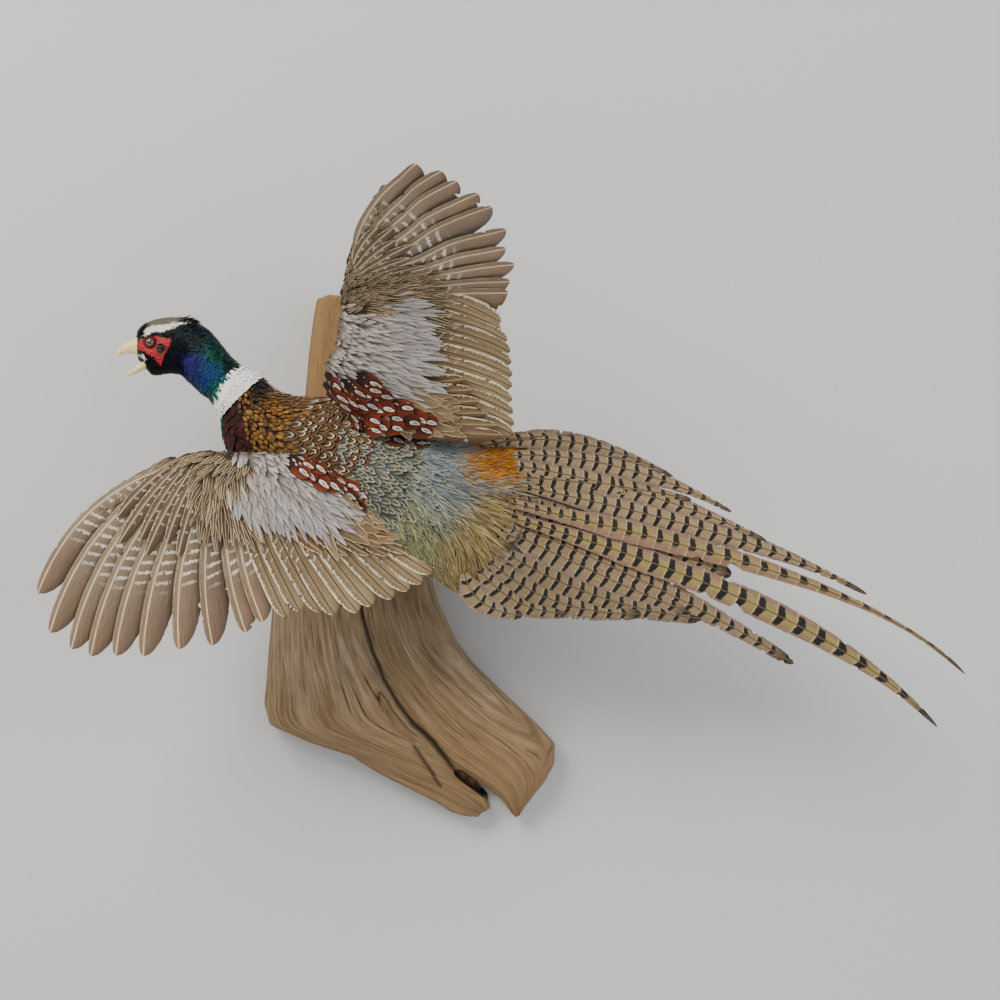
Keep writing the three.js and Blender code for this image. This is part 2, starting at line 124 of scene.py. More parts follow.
def mesh_of(*names):
    """One bmesh of the named solids, with their loose corners joined."""
    bm = bmesh.new()
    for name in names:
        bm.from_mesh(bpy.data.objects[name].data)
    bmesh.ops.remove_doubles(bm, verts=bm.verts, dist=0.00001)
    return bm


def make_piece(name, bm, material):
    """A smooth-shaded object that rides on the mount, from a finished bmesh."""
    mesh = bpy.data.meshes.new(name)
    bm.to_mesh(mesh)
    bm.free()
    mesh.shade_smooth()
    mesh.materials.append(material)
    piece = bpy.data.objects.new(name, mesh)
    bpy.context.collection.objects.link(piece)
    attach(piece, "root")
    return piece


def remeshed(bm, voxel):
    """The bmesh's solids run together into one even skin of small faces."""
    mesh = bpy.data.meshes.new("scratch")
    bm.to_mesh(mesh)
    bm.free()
    scratch = bpy.data.objects.new("scratch", mesh)
    bpy.context.collection.objects.link(scratch)
    scratch.modifiers.new("Remesh", "REMESH").voxel_size = voxel
    depsgraph = bpy.context.evaluated_depsgraph_get()
    made = bmesh.new()
    made.from_object(scratch, depsgraph)
    bpy.data.objects.remove(scratch)
    bpy.data.meshes.remove(mesh)
    return made


def smooth_columns(table, stations):
    """Each column of a table at fractional row numbers, along smooth curves through its rows."""
    table = np.asarray(table, float)
    padded = np.vstack([2 * table[0] - table[1], table, 2 * table[-1] - table[-2]])
    stations = np.clip(np.asarray(stations, float), 0, len(table) - 1 - 1e-9)
    row = stations.astype(int)
    w = (stations - row)[..., None]
    a, b, c, d = (padded[row + k] for k in range(4))
    return 0.5 * (2 * b + (c - a) * w + (2 * a - 5 * b + 4 * c - d) * w ** 2
                  + (3 * b - a - 3 * c + d) * w ** 3)


def wood_run(places, table):
    """How far across and along a lobe's grain each (x, z) place lies, and how far outside the lobe."""
    rows = smooth_columns(table, np.linspace(0, len(table) - 1, 90)) * MM
    left, right = rows[:, :2], rows[:, 2:]
    middle = (left + right) / 2
    run = np.concatenate([[0], np.cumsum(np.linalg.norm(np.diff(middle, axis=0), axis=1))])
    chord = right - left
    share = ((places[:, None, :] - left) * chord).sum(-1) / (chord ** 2).sum(-1)
    foot = left + np.clip(share, 0, 1)[..., None] * chord
    gap = np.linalg.norm(places[:, None, :] - foot, axis=-1)
    nearest = gap.argmin(1)
    pick = np.arange(len(places))
    before, after = np.maximum(nearest - 1, 0), np.minimum(nearest + 1, len(rows) - 1)
    second = np.where(gap[pick, before] < gap[pick, after], before, after)
    second = np.where(second == nearest, np.clip(nearest + 1, 1, len(rows) - 2), second)
    w = gap[pick, nearest] / (gap[pick, nearest] + gap[pick, second] + 1e-9)
    breadth = np.linalg.norm(chord, axis=1).mean()
    across = (share[pick, nearest] * (1 - w) + share[pick, second] * w) * breadth
    return across, run[nearest] * (1 - w) + run[second] * w, gap[pick, nearest]


def line_side(places, line):
    """Each (x, z) place's distance from an open line given in mm; positive on the line's left as it runs."""
    line = np.array(line) * MM
    step = np.diff(line, axis=0)
    off = places[:, None] - line[:-1]
    share = np.clip((off * step).sum(-1) / (step ** 2).sum(-1), 0, 1)
    off = off - share[..., None] * step
    gap = np.linalg.norm(off, axis=-1)
    nearest = gap.argmin(1)
    pick = np.arange(len(places))
    turn = step[nearest, 0] * off[pick, nearest, 1] - step[nearest, 1] * off[pick, nearest, 0]
    return gap[pick, nearest] * np.sign(turn)


def smooth_step(value, low, high):
    """0 below low, 1 above high, and a soft ramp between them."""
    share = np.clip((value - low) / (high - low), 0, 1)
    return share * share * (3 - 2 * share)


def driftwood_material():
    """Weathered softwood, sanded: dry and matt, brown with greyed ridges, near-black drying cracks and
    painted shade in the split.
    """
    material, tree, shader = start_material("weathered_driftwood", Roughness=0.82)
    shader.inputs["Specular IOR Level"].default_value = 0.25
    run = add(tree, "UVMap", uv_map="Grain")
    # the map is in metres, across and along: 1 unit of noise is drawn out 14 times longer than it is wide
    fibre = add(tree, "Mapping", run, Scale=(1 / (2.6 * MM), 1 / (60 * MM), 1))
    band = add(tree, "Mapping", run, Scale=(1 / (14 * MM), 1 / (190 * MM), 1))
    fine = add(tree, "Mapping", run, Scale=(1 / (0.9 * MM), 1 / (16 * MM), 1))
    fibres = add(tree, "TexNoise", fibre, 1.0, 5.0, 0.6, Distortion=0.35)
    bands = add(tree, "TexNoise", band, 1.0, 4.0, Distortion=0.5)
    hairs = add(tree, "TexNoise", fine, 1.0, 3.0)
    ground = add(tree, "ValToRGB", bands,
                 ramp=[(0.3, "#564839"), (0.43, "#7e6a51"), (0.55, "#8d7e69"), (0.7, "#967a58")])
    stripe = add(tree, "ValToRGB", fibres,
                 ramp=[(0.3, "#30251b"), (0.42, "#6c5842"), (0.58, "#a1896a"), (0.72, "#c0a98b")])
    grey = add(tree, "Mix", 0.5, ground, stripe)
    fresh = add(tree, "Attribute", attribute_name="Fresh", out="Fac")
    wood = add(tree, "Mix", fresh, grey, "#8f6c41")
    thread = add(tree, "Mix", 0.45, wood, hairs, blend_type="SOFT_LIGHT")
    # drying cracks: thin dark threads along the grain, 7 mm apart, that start and stop
    drawn = add(tree, "Mapping", run, Scale=(1 / (30 * MM), 1 / (110 * MM), 1))
    slow = add(tree, "TexNoise", drawn, 1.0, 2.0)
    aside = add(tree, "SeparateXYZ", run)
    bent = add(tree, "Math", aside, 1 / (7 * MM), slow, operation="MULTIPLY_ADD")
    near = add(tree, "Math", bent, 0.5, operation="PINGPONG")
    threads = add(tree, "MapRange", near, 0.01, 0.06, 0.85, 0.0)
    gate = add(tree, "Mapping", run, (3, 7, 0), Scale=(1 / (5 * MM), 1 / (55 * MM), 1))
    patchy = add(tree, "TexNoise", gate, 1.0, 1.0)
    some = add(tree, "MapRange", patchy, 0.54, 0.62)
    kept = add(tree, "Math", threads, some, operation="MULTIPLY")
    # painted shade: the floor of the split where the lobes meet is painted near-black, for the shadow in the
    # seam
    deep = add(tree, "Attribute", attribute_name="SplitShade", out="Fac")
    dark = add(tree, "Math", kept, deep, operation="MAXIMUM")
    cracked_and_shaded = add(tree, "Mix", dark, thread, "#150d07")
    tree.links.new(cracked_and_shaded, shader.inputs["Base Color"])
    relief = add(tree, "Math", fibres, hairs, operation="ADD")
    sunk = add(tree, "Math", kept, -1.2, relief, operation="MULTIPLY_ADD")
    bump = add(tree, "Bump", Height=sunk, Strength=0.9, Distance=1.2 * MM)
    tree.links.new(bump, shader.inputs["Normal"])
    return material


def waves(x, y, seed, octaves=3):
    """A smooth wandering value between about -1 and 1, from a few crossed sine waves."""
    draw = np.random.default_rng(seed)
    total = np.zeros_like(x)
    for octave in range(octaves):
        for _ in range(3):
            turn = draw.uniform(0, 2 * math.pi)
            scale = 2 ** octave
            shift = draw.uniform(0, 2 * math.pi)
            total += np.sin(scale * (x * math.cos(turn) + y * math.sin(turn)) + shift) / (scale * 2)
    return total / 1.6


wood = mesh_of("driftwood")
bmesh.ops.create_cube(wood, size=1.0, matrix=Matrix.Translation(Vector(PLUG_AT) * MM)
                      @ Matrix.Diagonal(Vector(PLUG_SIZE) * MM).to_4x4())
split = [Vector((x, SPLIT_BAR - front, z)) * MM for (x, z), front in zip(LOBE_SPLIT, SPLIT_FRONT)]
for start, end in zip(split, split[1:]):
    turn = (end - start).to_track_quat("Z", "Y").to_matrix().to_4x4()
    bmesh.ops.create_cone(wood, cap_ends=True, segments=24, radius1=SPLIT_BAR * MM, radius2=SPLIT_BAR * MM,
                          depth=(end - start).length + 3 * MM,
                          matrix=Matrix.Translation((start + end) / 2) @ turn)
wood = remeshed(wood, WOOD_VOXEL)
bmesh.ops.smooth_vert(wood, verts=wood.verts, factor=0.5, use_axis_x=True, use_axis_y=True, use_axis_z=True)
wood.normal_update()
points = np.array([v.co[:] for v in wood.verts])
facing = np.array([v.normal[:] for v in wood.verts])
places = points[:, [0, 2]]
across, along, gaps = (np.stack(column) for column in zip(*(wood_run(places, table) for table in
                                                            (WOOD_LEFT, WOOD_RIGHT, WOOD_STRIP))))
from_split = line_side(places, LOBE_SPLIT)
lobe = np.where(gaps[2] < np.minimum(gaps[0], gaps[1]) - 5.5 * MM, 2, gaps[:2].argmin(0))
lobe = np.where((np.maximum(gaps[0], gaps[1]) < 9 * MM) & (lobe < 2), (from_split > 0).astype(int), lobe)
pick = np.arange(len(points))
across = across - 0.9 * points[:, 1]          # the grain's lines run on round the sides of the lobes
here_across, here_along = across[lobe, pick], along[lobe, pick]
wander = here_along * 9 + lobe * 2.1
grain = waves(here_across / RIDGE_PITCH * 1.7, wander * 1.4, 3)
grain += (0.6 * waves(here_across / RIDGE_PITCH * 4.1, wander * 3, 4)
          + 1.1 * waves(here_across / (8 * MM), wander, 8))
front = (facing[:, 1] < 0.3) * (points[:, 2] < -50 * MM)
short = np.abs(line_side(places, SHORT_SPLIT))

def split_band(width, short_width, short_share):
    """1 along the floor of the splits, fading over the given widths; the short split counts for a share."""
    return front * np.maximum(np.exp(-(from_split / width) ** 2),
                              short_share * np.exp(-(short / short_width) ** 2))


valley = split_band(3.8 * MM, 2.8 * MM, 0.6)
# painted shade: a near-black band along the floor of the splits, for the shadow in the seam between the
# lobes
split_shade = split_band(2.6 * MM, 1.8 * MM, 0.9)
open_air = (points[:, 1] < -1.5 * MM).astype(float)
height = (RIDGE * grain * (1 - valley) - 5.0 * MM * valley) * open_air
for vert, rise, normal in zip(wood.verts, height, facing):
    vert.co += Vector(normal) * float(rise)
fresh = np.where(lobe == 2, 0.75, 0.4 * smooth_step(-points[:, 2], 150 * MM, 300 * MM) + 0.1 * (lobe == 1))
split_shade_layer, fresh_layer = (wood.verts.layers.float.new(title) for title in ("SplitShade", "Fresh"))
for vert, value, tan in zip(wood.verts, split_shade, fresh):
    vert[split_shade_layer] = float(value)
    vert[fresh_layer] = float(tan)
grain_uv = wood.loops.layers.uv.new("Grain")
for face in wood.faces:
    home = lobe[face.verts[0].index]
    for loop in face.loops:
        i = loop.vert.index
        loop[grain_uv].uv = (across[home, i] + home * 0.37, along[home, i])
driftwood = make_piece("driftwood_lobes", wood, driftwood_material())
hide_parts("driftwood")


# ---- steel rod and hanger ------------------------------------------------------------------------
# A zinc-plated steel rod screwed into the wood and run up into the bird's form, and a stamped hanger plate
# with a nail slot, let into the back of the wood and held by two countersunk screws.

def zinc_material():
    """Bright zinc plate on mild steel: a soft grey gloss with faint clouding and a drawn grain."""
    material, tree, shader = start_material("zinc_plated_steel", Metallic=1.0)
    where = add(tree, "TexCoord", out="Object")
    cloud = add(tree, "TexNoise", where, 1 / (6 * MM), 4.0)
    tone = add(tree, "ValToRGB", cloud, ramp=[(0.3, "#9a9c9e"), (0.7, "#c2c3c1")])
    rough = add(tree, "MapRange", cloud, To_Min=0.28, To_Max=0.48)
    tree.links.new(tone, shader.inputs["Base Color"])
    tree.links.new(rough, shader.inputs["Roughness"])
    return material


zinc = zinc_material()
for name in ("mount_rod", "wall_hanger"):
    steel = bpy.data.objects[name]
    steel.data.materials.clear()
    steel.data.materials.append(zinc)

low, high = (Vector(corner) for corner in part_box("wall_hanger"))
screws = bmesh.new()
for side in (-1, 1):
    centre = (low + high) / 2 + Vector((side * 15.5 * MM, 0, 0))
    turn = (Matrix.Translation(Vector((centre.x, high.y + 0.2 * MM, centre.z)))
            @ Matrix.Rotation(math.pi / 2, 4, "X"))
    bmesh.ops.create_cone(screws, cap_ends=True, segments=20, radius1=2.6 * MM, radius2=2.2 * MM,
                          depth=0.5 * MM, matrix=turn)
hanger_screws = make_piece("hanger_screws", screws, zinc)


# ---- the bird's form -----------------------------------------------------------------------------
# Under the coat lies the tanned skin, drawn over a carved foam form and sewn up along the belly. It is one
# piece from the bill to the tail root and out along both arms, and its bare face carries the red wattles.

# Sections from forehead to tail coverts: [upper x, upper z, lower x, lower z, middle y, half depth], in mm.
BODY_LINE = [(-214, 161, -211, 137, -158, 8), (-208, 172, -204, 134, -158, 13),
             (-198, 178, -196, 124.5, -158, 16), (-180, 181.5, -180, 126, -158, 17.5),
             (-160, 181, -168, 125, -158, 18), (-149, 174, -161, 119, -158, 18.5),
             (-139, 167, -153, 112, -158, 19), (-128, 154, -147, 106, -158, 20),
             (-116, 140, -141, 102.5, -157, 22.5), (-103, 131, -137, 98, -156, 24.5),
             (-88, 123, -128, 79, -155, 28), (-78, 112, -124, 56, -152, 36),
             (-60, 104, -110, 28, -150, 47), (-35, 101, -80, 0, -149, 55), (10, 99, -34, -22, -148, 59),
             (58, 78, 12, -42, -148, 59), (104, 58, 62, -64, -149, 51), (142, 54, 106, -88, -152, 36),
             (172, 55, 142, -100, -157, 20), (206, 44, 186, -98, -161, 11), (246, 20, 232, -88, -163, 5)]
# Where the spine runs: degrees round each section from its upper edge, towards the room at 90.
SPINE = [(0, 0), (8, 8), (10, 38), (12, 50), (13, 55), (14, 68), (15, 81), (16, 90), (20, 90)]
FLESH = ("head", "neck", "collar", "trunk", "rump", "wing_left_arm", "wing_right_arm",
         "leg_left_thigh", "leg_right_thigh")
SKIN_VOXEL = 2.1 * MM
COAT_DEPTH = 1.1 * MM               # how far the skin lies inside the solids on head, wings and legs
BODY_COAT_DEPTH = 4.0 * MM          # and on the trunk
HEAD_MIDDLE = -158 * MM
EYE_AT = Vector((-196, 11.2, 156)) * MM    # x, distance from the head's middle, z
EYE_RADIUS = 5.8 * MM
LID_OPENING = 4.5 * MM
WATTLE = [(-211.6, 153), (-204.7, 161), (-195.8, 163.5), (-187.9, 162), (-174, 160), (-176, 152),
          (-181, 144), (-185, 132.4), (-190, 132), (-195.8, 140), (-202.7, 145.5), (-208.6, 149)]


def form_surface(table):
    """The surface of a form given by sections, as a function of (section number, angle round it) pairs."""
    table = np.asarray(table, float)

    def surface(places):
        before = np.minimum(places[..., 0], 0)[..., None] * (table[1] - table[0])
        past = np.maximum(places[..., 0] - (len(table) - 1), 0)[..., None] * (table[-1] - table[-2])
        rows = (smooth_columns(table, places[..., 0]) + before + past) * MM
        rise = (1 + np.cos(places[..., 1])) / 2
        flat = rows[..., 2:4] + (rows[..., 0:2] - rows[..., 2:4]) * rise[..., None]
        depth = rows[..., 4] - np.maximum(rows[..., 5], 0.003) * np.sin(places[..., 1])
        return np.stack([flat[..., 0], depth, flat[..., 1]], axis=-1)

    return surface


body_surface = form_surface(BODY_LINE)


def off_spine(places):
    """Degrees round the body from the spine: 0 on the back, 180 on the belly, negative on the right."""
    spine = np.interp(places[..., 0], *np.transpose(SPINE))
    return (np.degrees(places[..., 1]) - spine + 180) % 360 - 180


def outline_distance(x, z, outline):
    """How far each point lies inside a closed outline; negative outside."""
    outline = np.asarray(outline, float)
    inside = np.zeros(x.shape, bool)
    nearest = np.full(x.shape, np.inf)
    for (x0, z0), (x1, z1) in zip(outline, np.roll(outline, -1, axis=0)):
        crosses = ((z0 > z) != (z1 > z)) & (x < (x1 - x0) * (z - z0) / (z1 - z0 + 1e-12) + x0)
        inside ^= crosses
        share = ((x - x0) * (x1 - x0) + (z - z0) * (z1 - z0)) / ((x1 - x0) ** 2 + (z1 - z0) ** 2)
        share = np.clip(share, 0, 1)
        nearest = np.minimum(nearest, np.hypot(x - x0 - share * (x1 - x0), z - z0 - share * (z1 - z0)))
    return np.where(inside, nearest, -nearest)


def skin_material():
    """Tanned and painted bird skin: dry and matt, with small darker cells like the wattles' papillae."""
    material, tree, shader = start_material("tanned_skin_and_wattle", Roughness=0.6)
    ground = add(tree, "Attribute", attribute_name="Ground")
    where = add(tree, "TexCoord", out="Object")
    cells = add(tree, "TexVoronoi", where, 1 / (1.3 * MM))
    cloud = add(tree, "TexNoise", where, 1 / (5 * MM), 3.0)
    shade = add(tree, "MapRange", cells, From_Max=0.7, To_Min=1.15, To_Max=0.62)
    mottle = add(tree, "MapRange", cloud, To_Min=0.8, To_Max=1.2)
    both = add(tree, "Math", shade, mottle, operation="MULTIPLY")
    tinted = add(tree, "VectorMath", ground, both, operation="SCALE")
    tree.links.new(tinted, shader.inputs["Base Color"])
    bump = add(tree, "Bump", Height=cells, Strength=0.5, Distance=-0.5 * MM)
    tree.links.new(bump, shader.inputs["Normal"])
    return material


# Patches of the face as centres and radii, x and z: white tufts by the gape, and behind the eye a patch of
# black feathers within a ring of dark bare skin.
GAPE_TUFT = (-206, 142), (3.4, 2.8)
EYE_PATCH = (-187, 150), (3.2, 4.4)
EYE_BACK = (-185.5, 149.5), (4.2, 5.5)

# Round the head and neck the plumage shines in patches of colour that run into one another, painted in fixed
# places:
# green, blue and violet painted sheen of the feathers' own iridescence, and near-black patches that are
# partly their own black and partly painted shade. x, z, colour.
HEAD_SHEEN_PATCHES = [
    (-205, 168, "#0a0e0c"), (-196, 130, "#080d0c"), (-178, 168, "#0a1512"), (-170, 152, "#080f0d"),
    (-158, 158, "#0a1a15"), (-178, 136, "#0b0f18"), (-161, 139, "#23195e"), (-150, 124, "#0d2a60"),
    (-140, 130, "#083c66"), (-133, 112, "#0f5a4a"), (-138, 150, "#0b3a2e"), (-122, 138, "#0a2a24"),
    (-114, 130, "#071210"), (-124, 106, "#0f4238"),
]


def ellipse(x, z, centre, radii):
    """How far out each point lies from an ellipse's centre: 1 on its edge."""
    return np.hypot((x - centre[0]) / radii[0], (z - centre[1]) / radii[1])


def tint(hex_colour):
    """A hex colour as linear RGB."""
    return np.array(linear(hex_colour)[:3])


def head_colour(points):
    """The head's and neck's linear colour at each point, the same on both sides, with the gloss's painted
    sheen and shade.
    """
    x, z = points[:, 0] / MM, points[:, 2] / MM
    total = np.zeros((len(points), 3))
    weights = np.zeros(len(points))
    # painted sheen and shade: the gloss's hues and its dark patches are blended from these fixed places
    for patch_x, patch_z, colour in HEAD_SHEEN_PATCHES:
        weight = 1 / (((x - patch_x) ** 2 + (z - patch_z) ** 2) ** 1.6 + 20)
        total += weight[:, None] * tint(colour)
        weights += weight
    colours = total / weights[:, None]
    for bottom, top, ends, colour in (
        (173.5, 190, (-203, -153), "#6a6753"),                    # olive-grey crown
        (165.5, 173, (-205, -158), "#f0eee8"),                    # white brow
    ):
        lean = np.clip((x + 186) * 0.28, 0, 8) - np.clip(-196 - x, 0, 9) * 0.45
        thin = np.clip((x + 190) * 0.2, 0, 6.2) * (top < 180)    # the brow runs out to a point
        band = smooth_step(z - lean, bottom + thin - 1, bottom + thin + 1)
        band *= 1 - smooth_step(z - lean, top - 1, top + 1)
        band *= smooth_step(x, ends[0] - 1.5, ends[0] + 1.5) * (1 - smooth_step(x, ends[1] - 3, ends[1] + 5))
        colours += band[:, None] * (tint(colour) - colours)
    colours[ellipse(x, z, *GAPE_TUFT) < 1] = tint("#d9d6cf")
    return colours


skin = remeshed(mesh_of(*FLESH), SKIN_VOXEL)
for _ in range(3):
    bmesh.ops.smooth_vert(skin, verts=skin.verts, factor=0.5, use_axis_x=True, use_axis_y=True,
                          use_axis_z=True)
face_edges = [edge for edge in skin.edges
              if edge.verts[0].co.x < -168 * MM and abs(edge.verts[0].co.y - HEAD_MIDDLE) > 6 * MM]
bmesh.ops.subdivide_edges(skin, edges=face_edges, cuts=2, use_grid_fill=True)
bmesh.ops.triangulate(skin, faces=[face for face in skin.faces if len(face.verts) > 4])
skin.normal_update()
points = np.array([v.co[:] for v in skin.verts])
facing = np.array([v.normal[:] for v in skin.verts])
out = np.abs(points[:, 1] - HEAD_MIDDLE)
side = np.sign(points[:, 1] - HEAD_MIDDLE)
bare = smooth_step(outline_distance(points[:, 0] / MM, points[:, 2] / MM, WATTLE), -0.3, 1.0)
bare *= (out > 5 * MM) * (points[:, 0] < -168 * MM)
papillae = waves(points[:, 0] / (0.55 * MM), points[:, 2] / (0.55 * MM), 21, 2)
grid = np.stack(np.meshgrid(np.linspace(10, 20, 120), np.linspace(0, 2 * math.pi, 72)), -1).reshape(-1, 2)
trunk_points = KDTree(len(grid))
for number, place in enumerate(body_surface(grid)):
    trunk_points.insert(place, number)
trunk_points.balance()
trunk = 1 - smooth_step(np.array([trunk_points.find(point)[2] for point in points]), 3 * MM, 7 * MM)
depth = COAT_DEPTH + (BODY_COAT_DEPTH - COAT_DEPTH) * trunk
lift = -depth * (1 - bare) + bare * (0.1 * MM + 0.45 * MM * papillae)
from_eye = np.hypot(points[:, 0] - EYE_AT.x, points[:, 2] - EYE_AT.z)
near_eye = (from_eye < 9 * MM) & (out > 7 * MM)
points += facing * lift[:, None]
ball_face = EYE_AT.y + np.sqrt(np.clip(EYE_RADIUS ** 2 - from_eye ** 2, 0, None))
lid = ball_face + 0.45 * MM + 0.55 * MM * np.exp(-((from_eye - 5.3 * MM) / (0.6 * MM)) ** 2)
inner = smooth_step(from_eye, LID_OPENING - 0.35 * MM, LID_OPENING + 0.2 * MM)
lid = lid * inner + (EYE_AT.y - 1 * MM) * (1 - inner)
hold = 1 - smooth_step(from_eye, 5.2 * MM, 7.6 * MM)
reach = np.abs(points[:, 1] - HEAD_MIDDLE)
reach = np.where(near_eye, reach * (1 - hold) + lid * hold, reach)
points[:, 1] = np.where(near_eye, HEAD_MIDDLE + side * reach, points[:, 1])
at_bill = np.where((points[:, 2] > 143 * MM) & (points[:, 2] < 161.5 * MM), -210 * MM, -1.0)
at_bill = np.where((points[:, 2] > 128 * MM) & (points[:, 2] < 137 * MM), -203.5 * MM, at_bill)
points[:, 0] = np.maximum(points[:, 0], at_bill)
for vert, place in zip(skin.verts, points):
    vert.co = place
skin_points, skin_bare = points, bare


# ---- eyes ----------------------------------------------------------------------------------------
# Glass taxidermy eyes set in the form with clay: a domed clear face over a painted brown iris and a round
# black pupil. The lids of the skin are tucked round them.

PUPIL = 2.0 * MM
IRIS = 3.9 * MM


def eye_material():
    """Painted glass eye: fine flecks in a tan-pink iris, a black pupil, all under a hard clear gloss."""
    material, tree, shader = start_material("painted_glass_eye", Roughness=0.12, Coat_Weight=1.0,
                                            Coat_Roughness=0.03)
    place = add(tree, "UVMap", uv_map="Iris")
    far = add(tree, "VectorMath", place, operation="LENGTH")
    fleck = add(tree, "TexNoise", place, 1 / (0.5 * MM), 4.0, out="Color")
    spread = add(tree, "Math", far, 1 / (IRIS * 1.25), operation="MULTIPLY")
    rings = add(tree, "ValToRGB", spread,
                ramp=[(0.0, "#040303"), (PUPIL / IRIS * 0.78, "#050404"), (PUPIL / IRIS * 0.84, "#2a1610"),
                      (0.52, "#7d5444"), (0.72, "#5c372a"), (0.8, "#0c0705"), (1.0, "#080504")])
    mixed = add(tree, "Mix", 0.35, rings, fleck, blend_type="SOFT_LIGHT")
    tree.links.new(mixed, shader.inputs["Base Color"])
    return material


eye_glass = eye_material()
for name, side_sign in (("eye_left", -1), ("eye_right", 1)):
    ball = bmesh.new()
    bmesh.ops.create_uvsphere(ball, u_segments=40, v_segments=24, radius=EYE_RADIUS)
    bmesh.ops.rotate(ball, verts=ball.verts, matrix=Matrix.Rotation(-side_sign * math.pi / 2, 3, "X"))
    for vert in ball.verts:
        bulge = max(vert.co.y * side_sign / EYE_RADIUS - 0.72, 0)
        vert.co.y += side_sign * bulge * 1.6 * MM
    iris_uv = ball.loops.layers.uv.new("Iris")
    for face in ball.faces:
        for loop in face.loops:
            front = 0 if loop.vert.co.y * side_sign > 0 else 1
            loop[iris_uv].uv = (loop.vert.co.x + front, loop.vert.co.z)
    bmesh.ops.translate(ball, verts=ball.verts,
                        vec=(EYE_AT.x, HEAD_MIDDLE + side_sign * EYE_AT.y, EYE_AT.z))
    eye = make_piece("glass_" + name, ball, eye_glass)
    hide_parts(name)


# ---- bill ----------------------------------------------------------------------------------------
# The bird's own bill, of horn over bone, glued in the skull a little open. Pale straw-coloured horn, with a
# hooked upper half, a nostril under a scale, sharp cutting edges and growth lines near the root.

BILL_UPPER_LINE = [(-206, 163, -203, 141, -158, 8.2), (-213, 160.8, -209, 143, -158, 7.2),
                   (-220, 157.6, -217, 146, -158, 5.2), (-227.5, 153.4, -225, 146, -158, 3.3),
                   (-233.4, 144.0, -231, 142.5, -158, 1.1)]
BILL_LOWER_LINE = [
    (-198, 144, -197, 132, -158, 7.2), (-207, 137.4, -206, 128.8, -158, 6),
    (-215, 131.4, -214, 125.2, -158, 4), (-222, 126, -221, 123.6, -158, 1.2),
]
NOSTRIL = Vector((-214.5, 0, 154)) * MM


def loft(table, sides, rings):
    """A round solid through sections of the same kind as the body line's, from a bent grid."""
    bm = bmesh.new()
    bmesh.ops.create_grid(bm, x_segments=sides, y_segments=rings, size=0.5)
    grid = np.array([v.co[:] for v in bm.verts])
    rows = smooth_columns(table, (grid[:, 1] + 0.5) * (len(table) - 1)) * MM
    turn = (grid[:, 0] + 0.5) * 2 * math.pi
    rise = (1 + np.cos(turn)) / 2
    flat = rows[:, 2:4] + (rows[:, 0:2] - rows[:, 2:4]) * rise[:, None]
    for vert, (x, z), y in zip(bm.verts, flat, rows[:, 4] - rows[:, 5] * np.sin(turn)):
        vert.co = (x, y, z)
    bmesh.ops.remove_doubles(bm, verts=bm.verts, dist=0.00002)
    bmesh.ops.holes_fill(bm, edges=[edge for edge in bm.edges if edge.is_boundary], sides=0)
    bmesh.ops.recalc_face_normals(bm, faces=bm.faces)
    return bm


def bill_material():
    """Pale horn, polished by use: straw with a slight glow and faint yellower growth lines."""
    material, tree, shader = start_material("pale_bill_horn", Roughness=0.34)
    shader.inputs["Subsurface Weight"].default_value = 0.15
    shader.inputs["Subsurface Radius"].default_value = (0.002, 0.001, 0.0005)
    where = add(tree, "TexCoord", out="Object")
    drawn = add(tree, "Mapping", where, Scale=(1 / (5 * MM), 1 / (2 * MM), 1 / (0.9 * MM)))
    lines = add(tree, "TexNoise", drawn, 1.0, 3.0)
    tone = add(tree, "ValToRGB", lines, ramp=[(0.25, "#c9ae62"), (0.5, "#eed998"), (0.75, "#f4e8b8")])
    tree.links.new(tone, shader.inputs["Base Color"])
    bump = add(tree, "Bump", Height=lines, Strength=0.25, Distance=0.4 * MM)
    tree.links.new(bump, shader.inputs["Normal"])
    return material


horn = bill_material()
for name, table in (("bill_upper", BILL_UPPER_LINE), ("bill_lower", BILL_LOWER_LINE)):
    bill = loft(table, 41, 49)
    for vert in bill.verts:
        sideways = vert.co.y - HEAD_MIDDLE
        if name == "bill_upper":
            from_nostril = math.hypot((vert.co.x - NOSTRIL.x) / 2.6, (vert.co.z - NOSTRIL.z) / 1.1) / MM
            scale = math.hypot((vert.co.x - NOSTRIL.x) / 4, (vert.co.z - NOSTRIL.z - 2 * MM) / 1.8) / MM
            dent = -1.5 * MM * max(1 - from_nostril ** 2, 0) + 0.7 * MM * max(1 - scale ** 2, 0)
            vert.co.y += math.copysign(dent, sideways) if abs(sideways) > 1.5 * MM else 0
    half = make_piece(name + "_horn", bill, horn)
    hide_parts(name)


# ---- small feathers ------------------------------------------------------------------------------
# Every tract of small feathers is a coat of thin closed vanes laid like shingles from the bill backwards,
# each rooted under the one before it. They are the bird's own plumage, combed flat while the skin dried.

SMALL_RINGS = (0.0, 0.22, 0.45, 0.68, 0.86, 0.96, 1.0)
# half widths of a vane at those rings, as shares of its greatest
ROUND_TIP = (0.35, 0.78, 1.0, 0.98, 0.74, 0.42, 0.08)
LANCE_TIP = (0.40, 0.85, 1.0, 0.82, 0.50, 0.24, 0.04)
STRAND_TIP = (0.60, 0.95, 1.0, 0.80, 0.50, 0.28, 0.06)
FINE_RINGS = (0.0, 0.4, 0.75, 1.0)
FINE_TIP = (0.55, 1.0, 0.85, 0.12)
PATCH = 0.003                       # a small feather's place on its piece's bake map, across


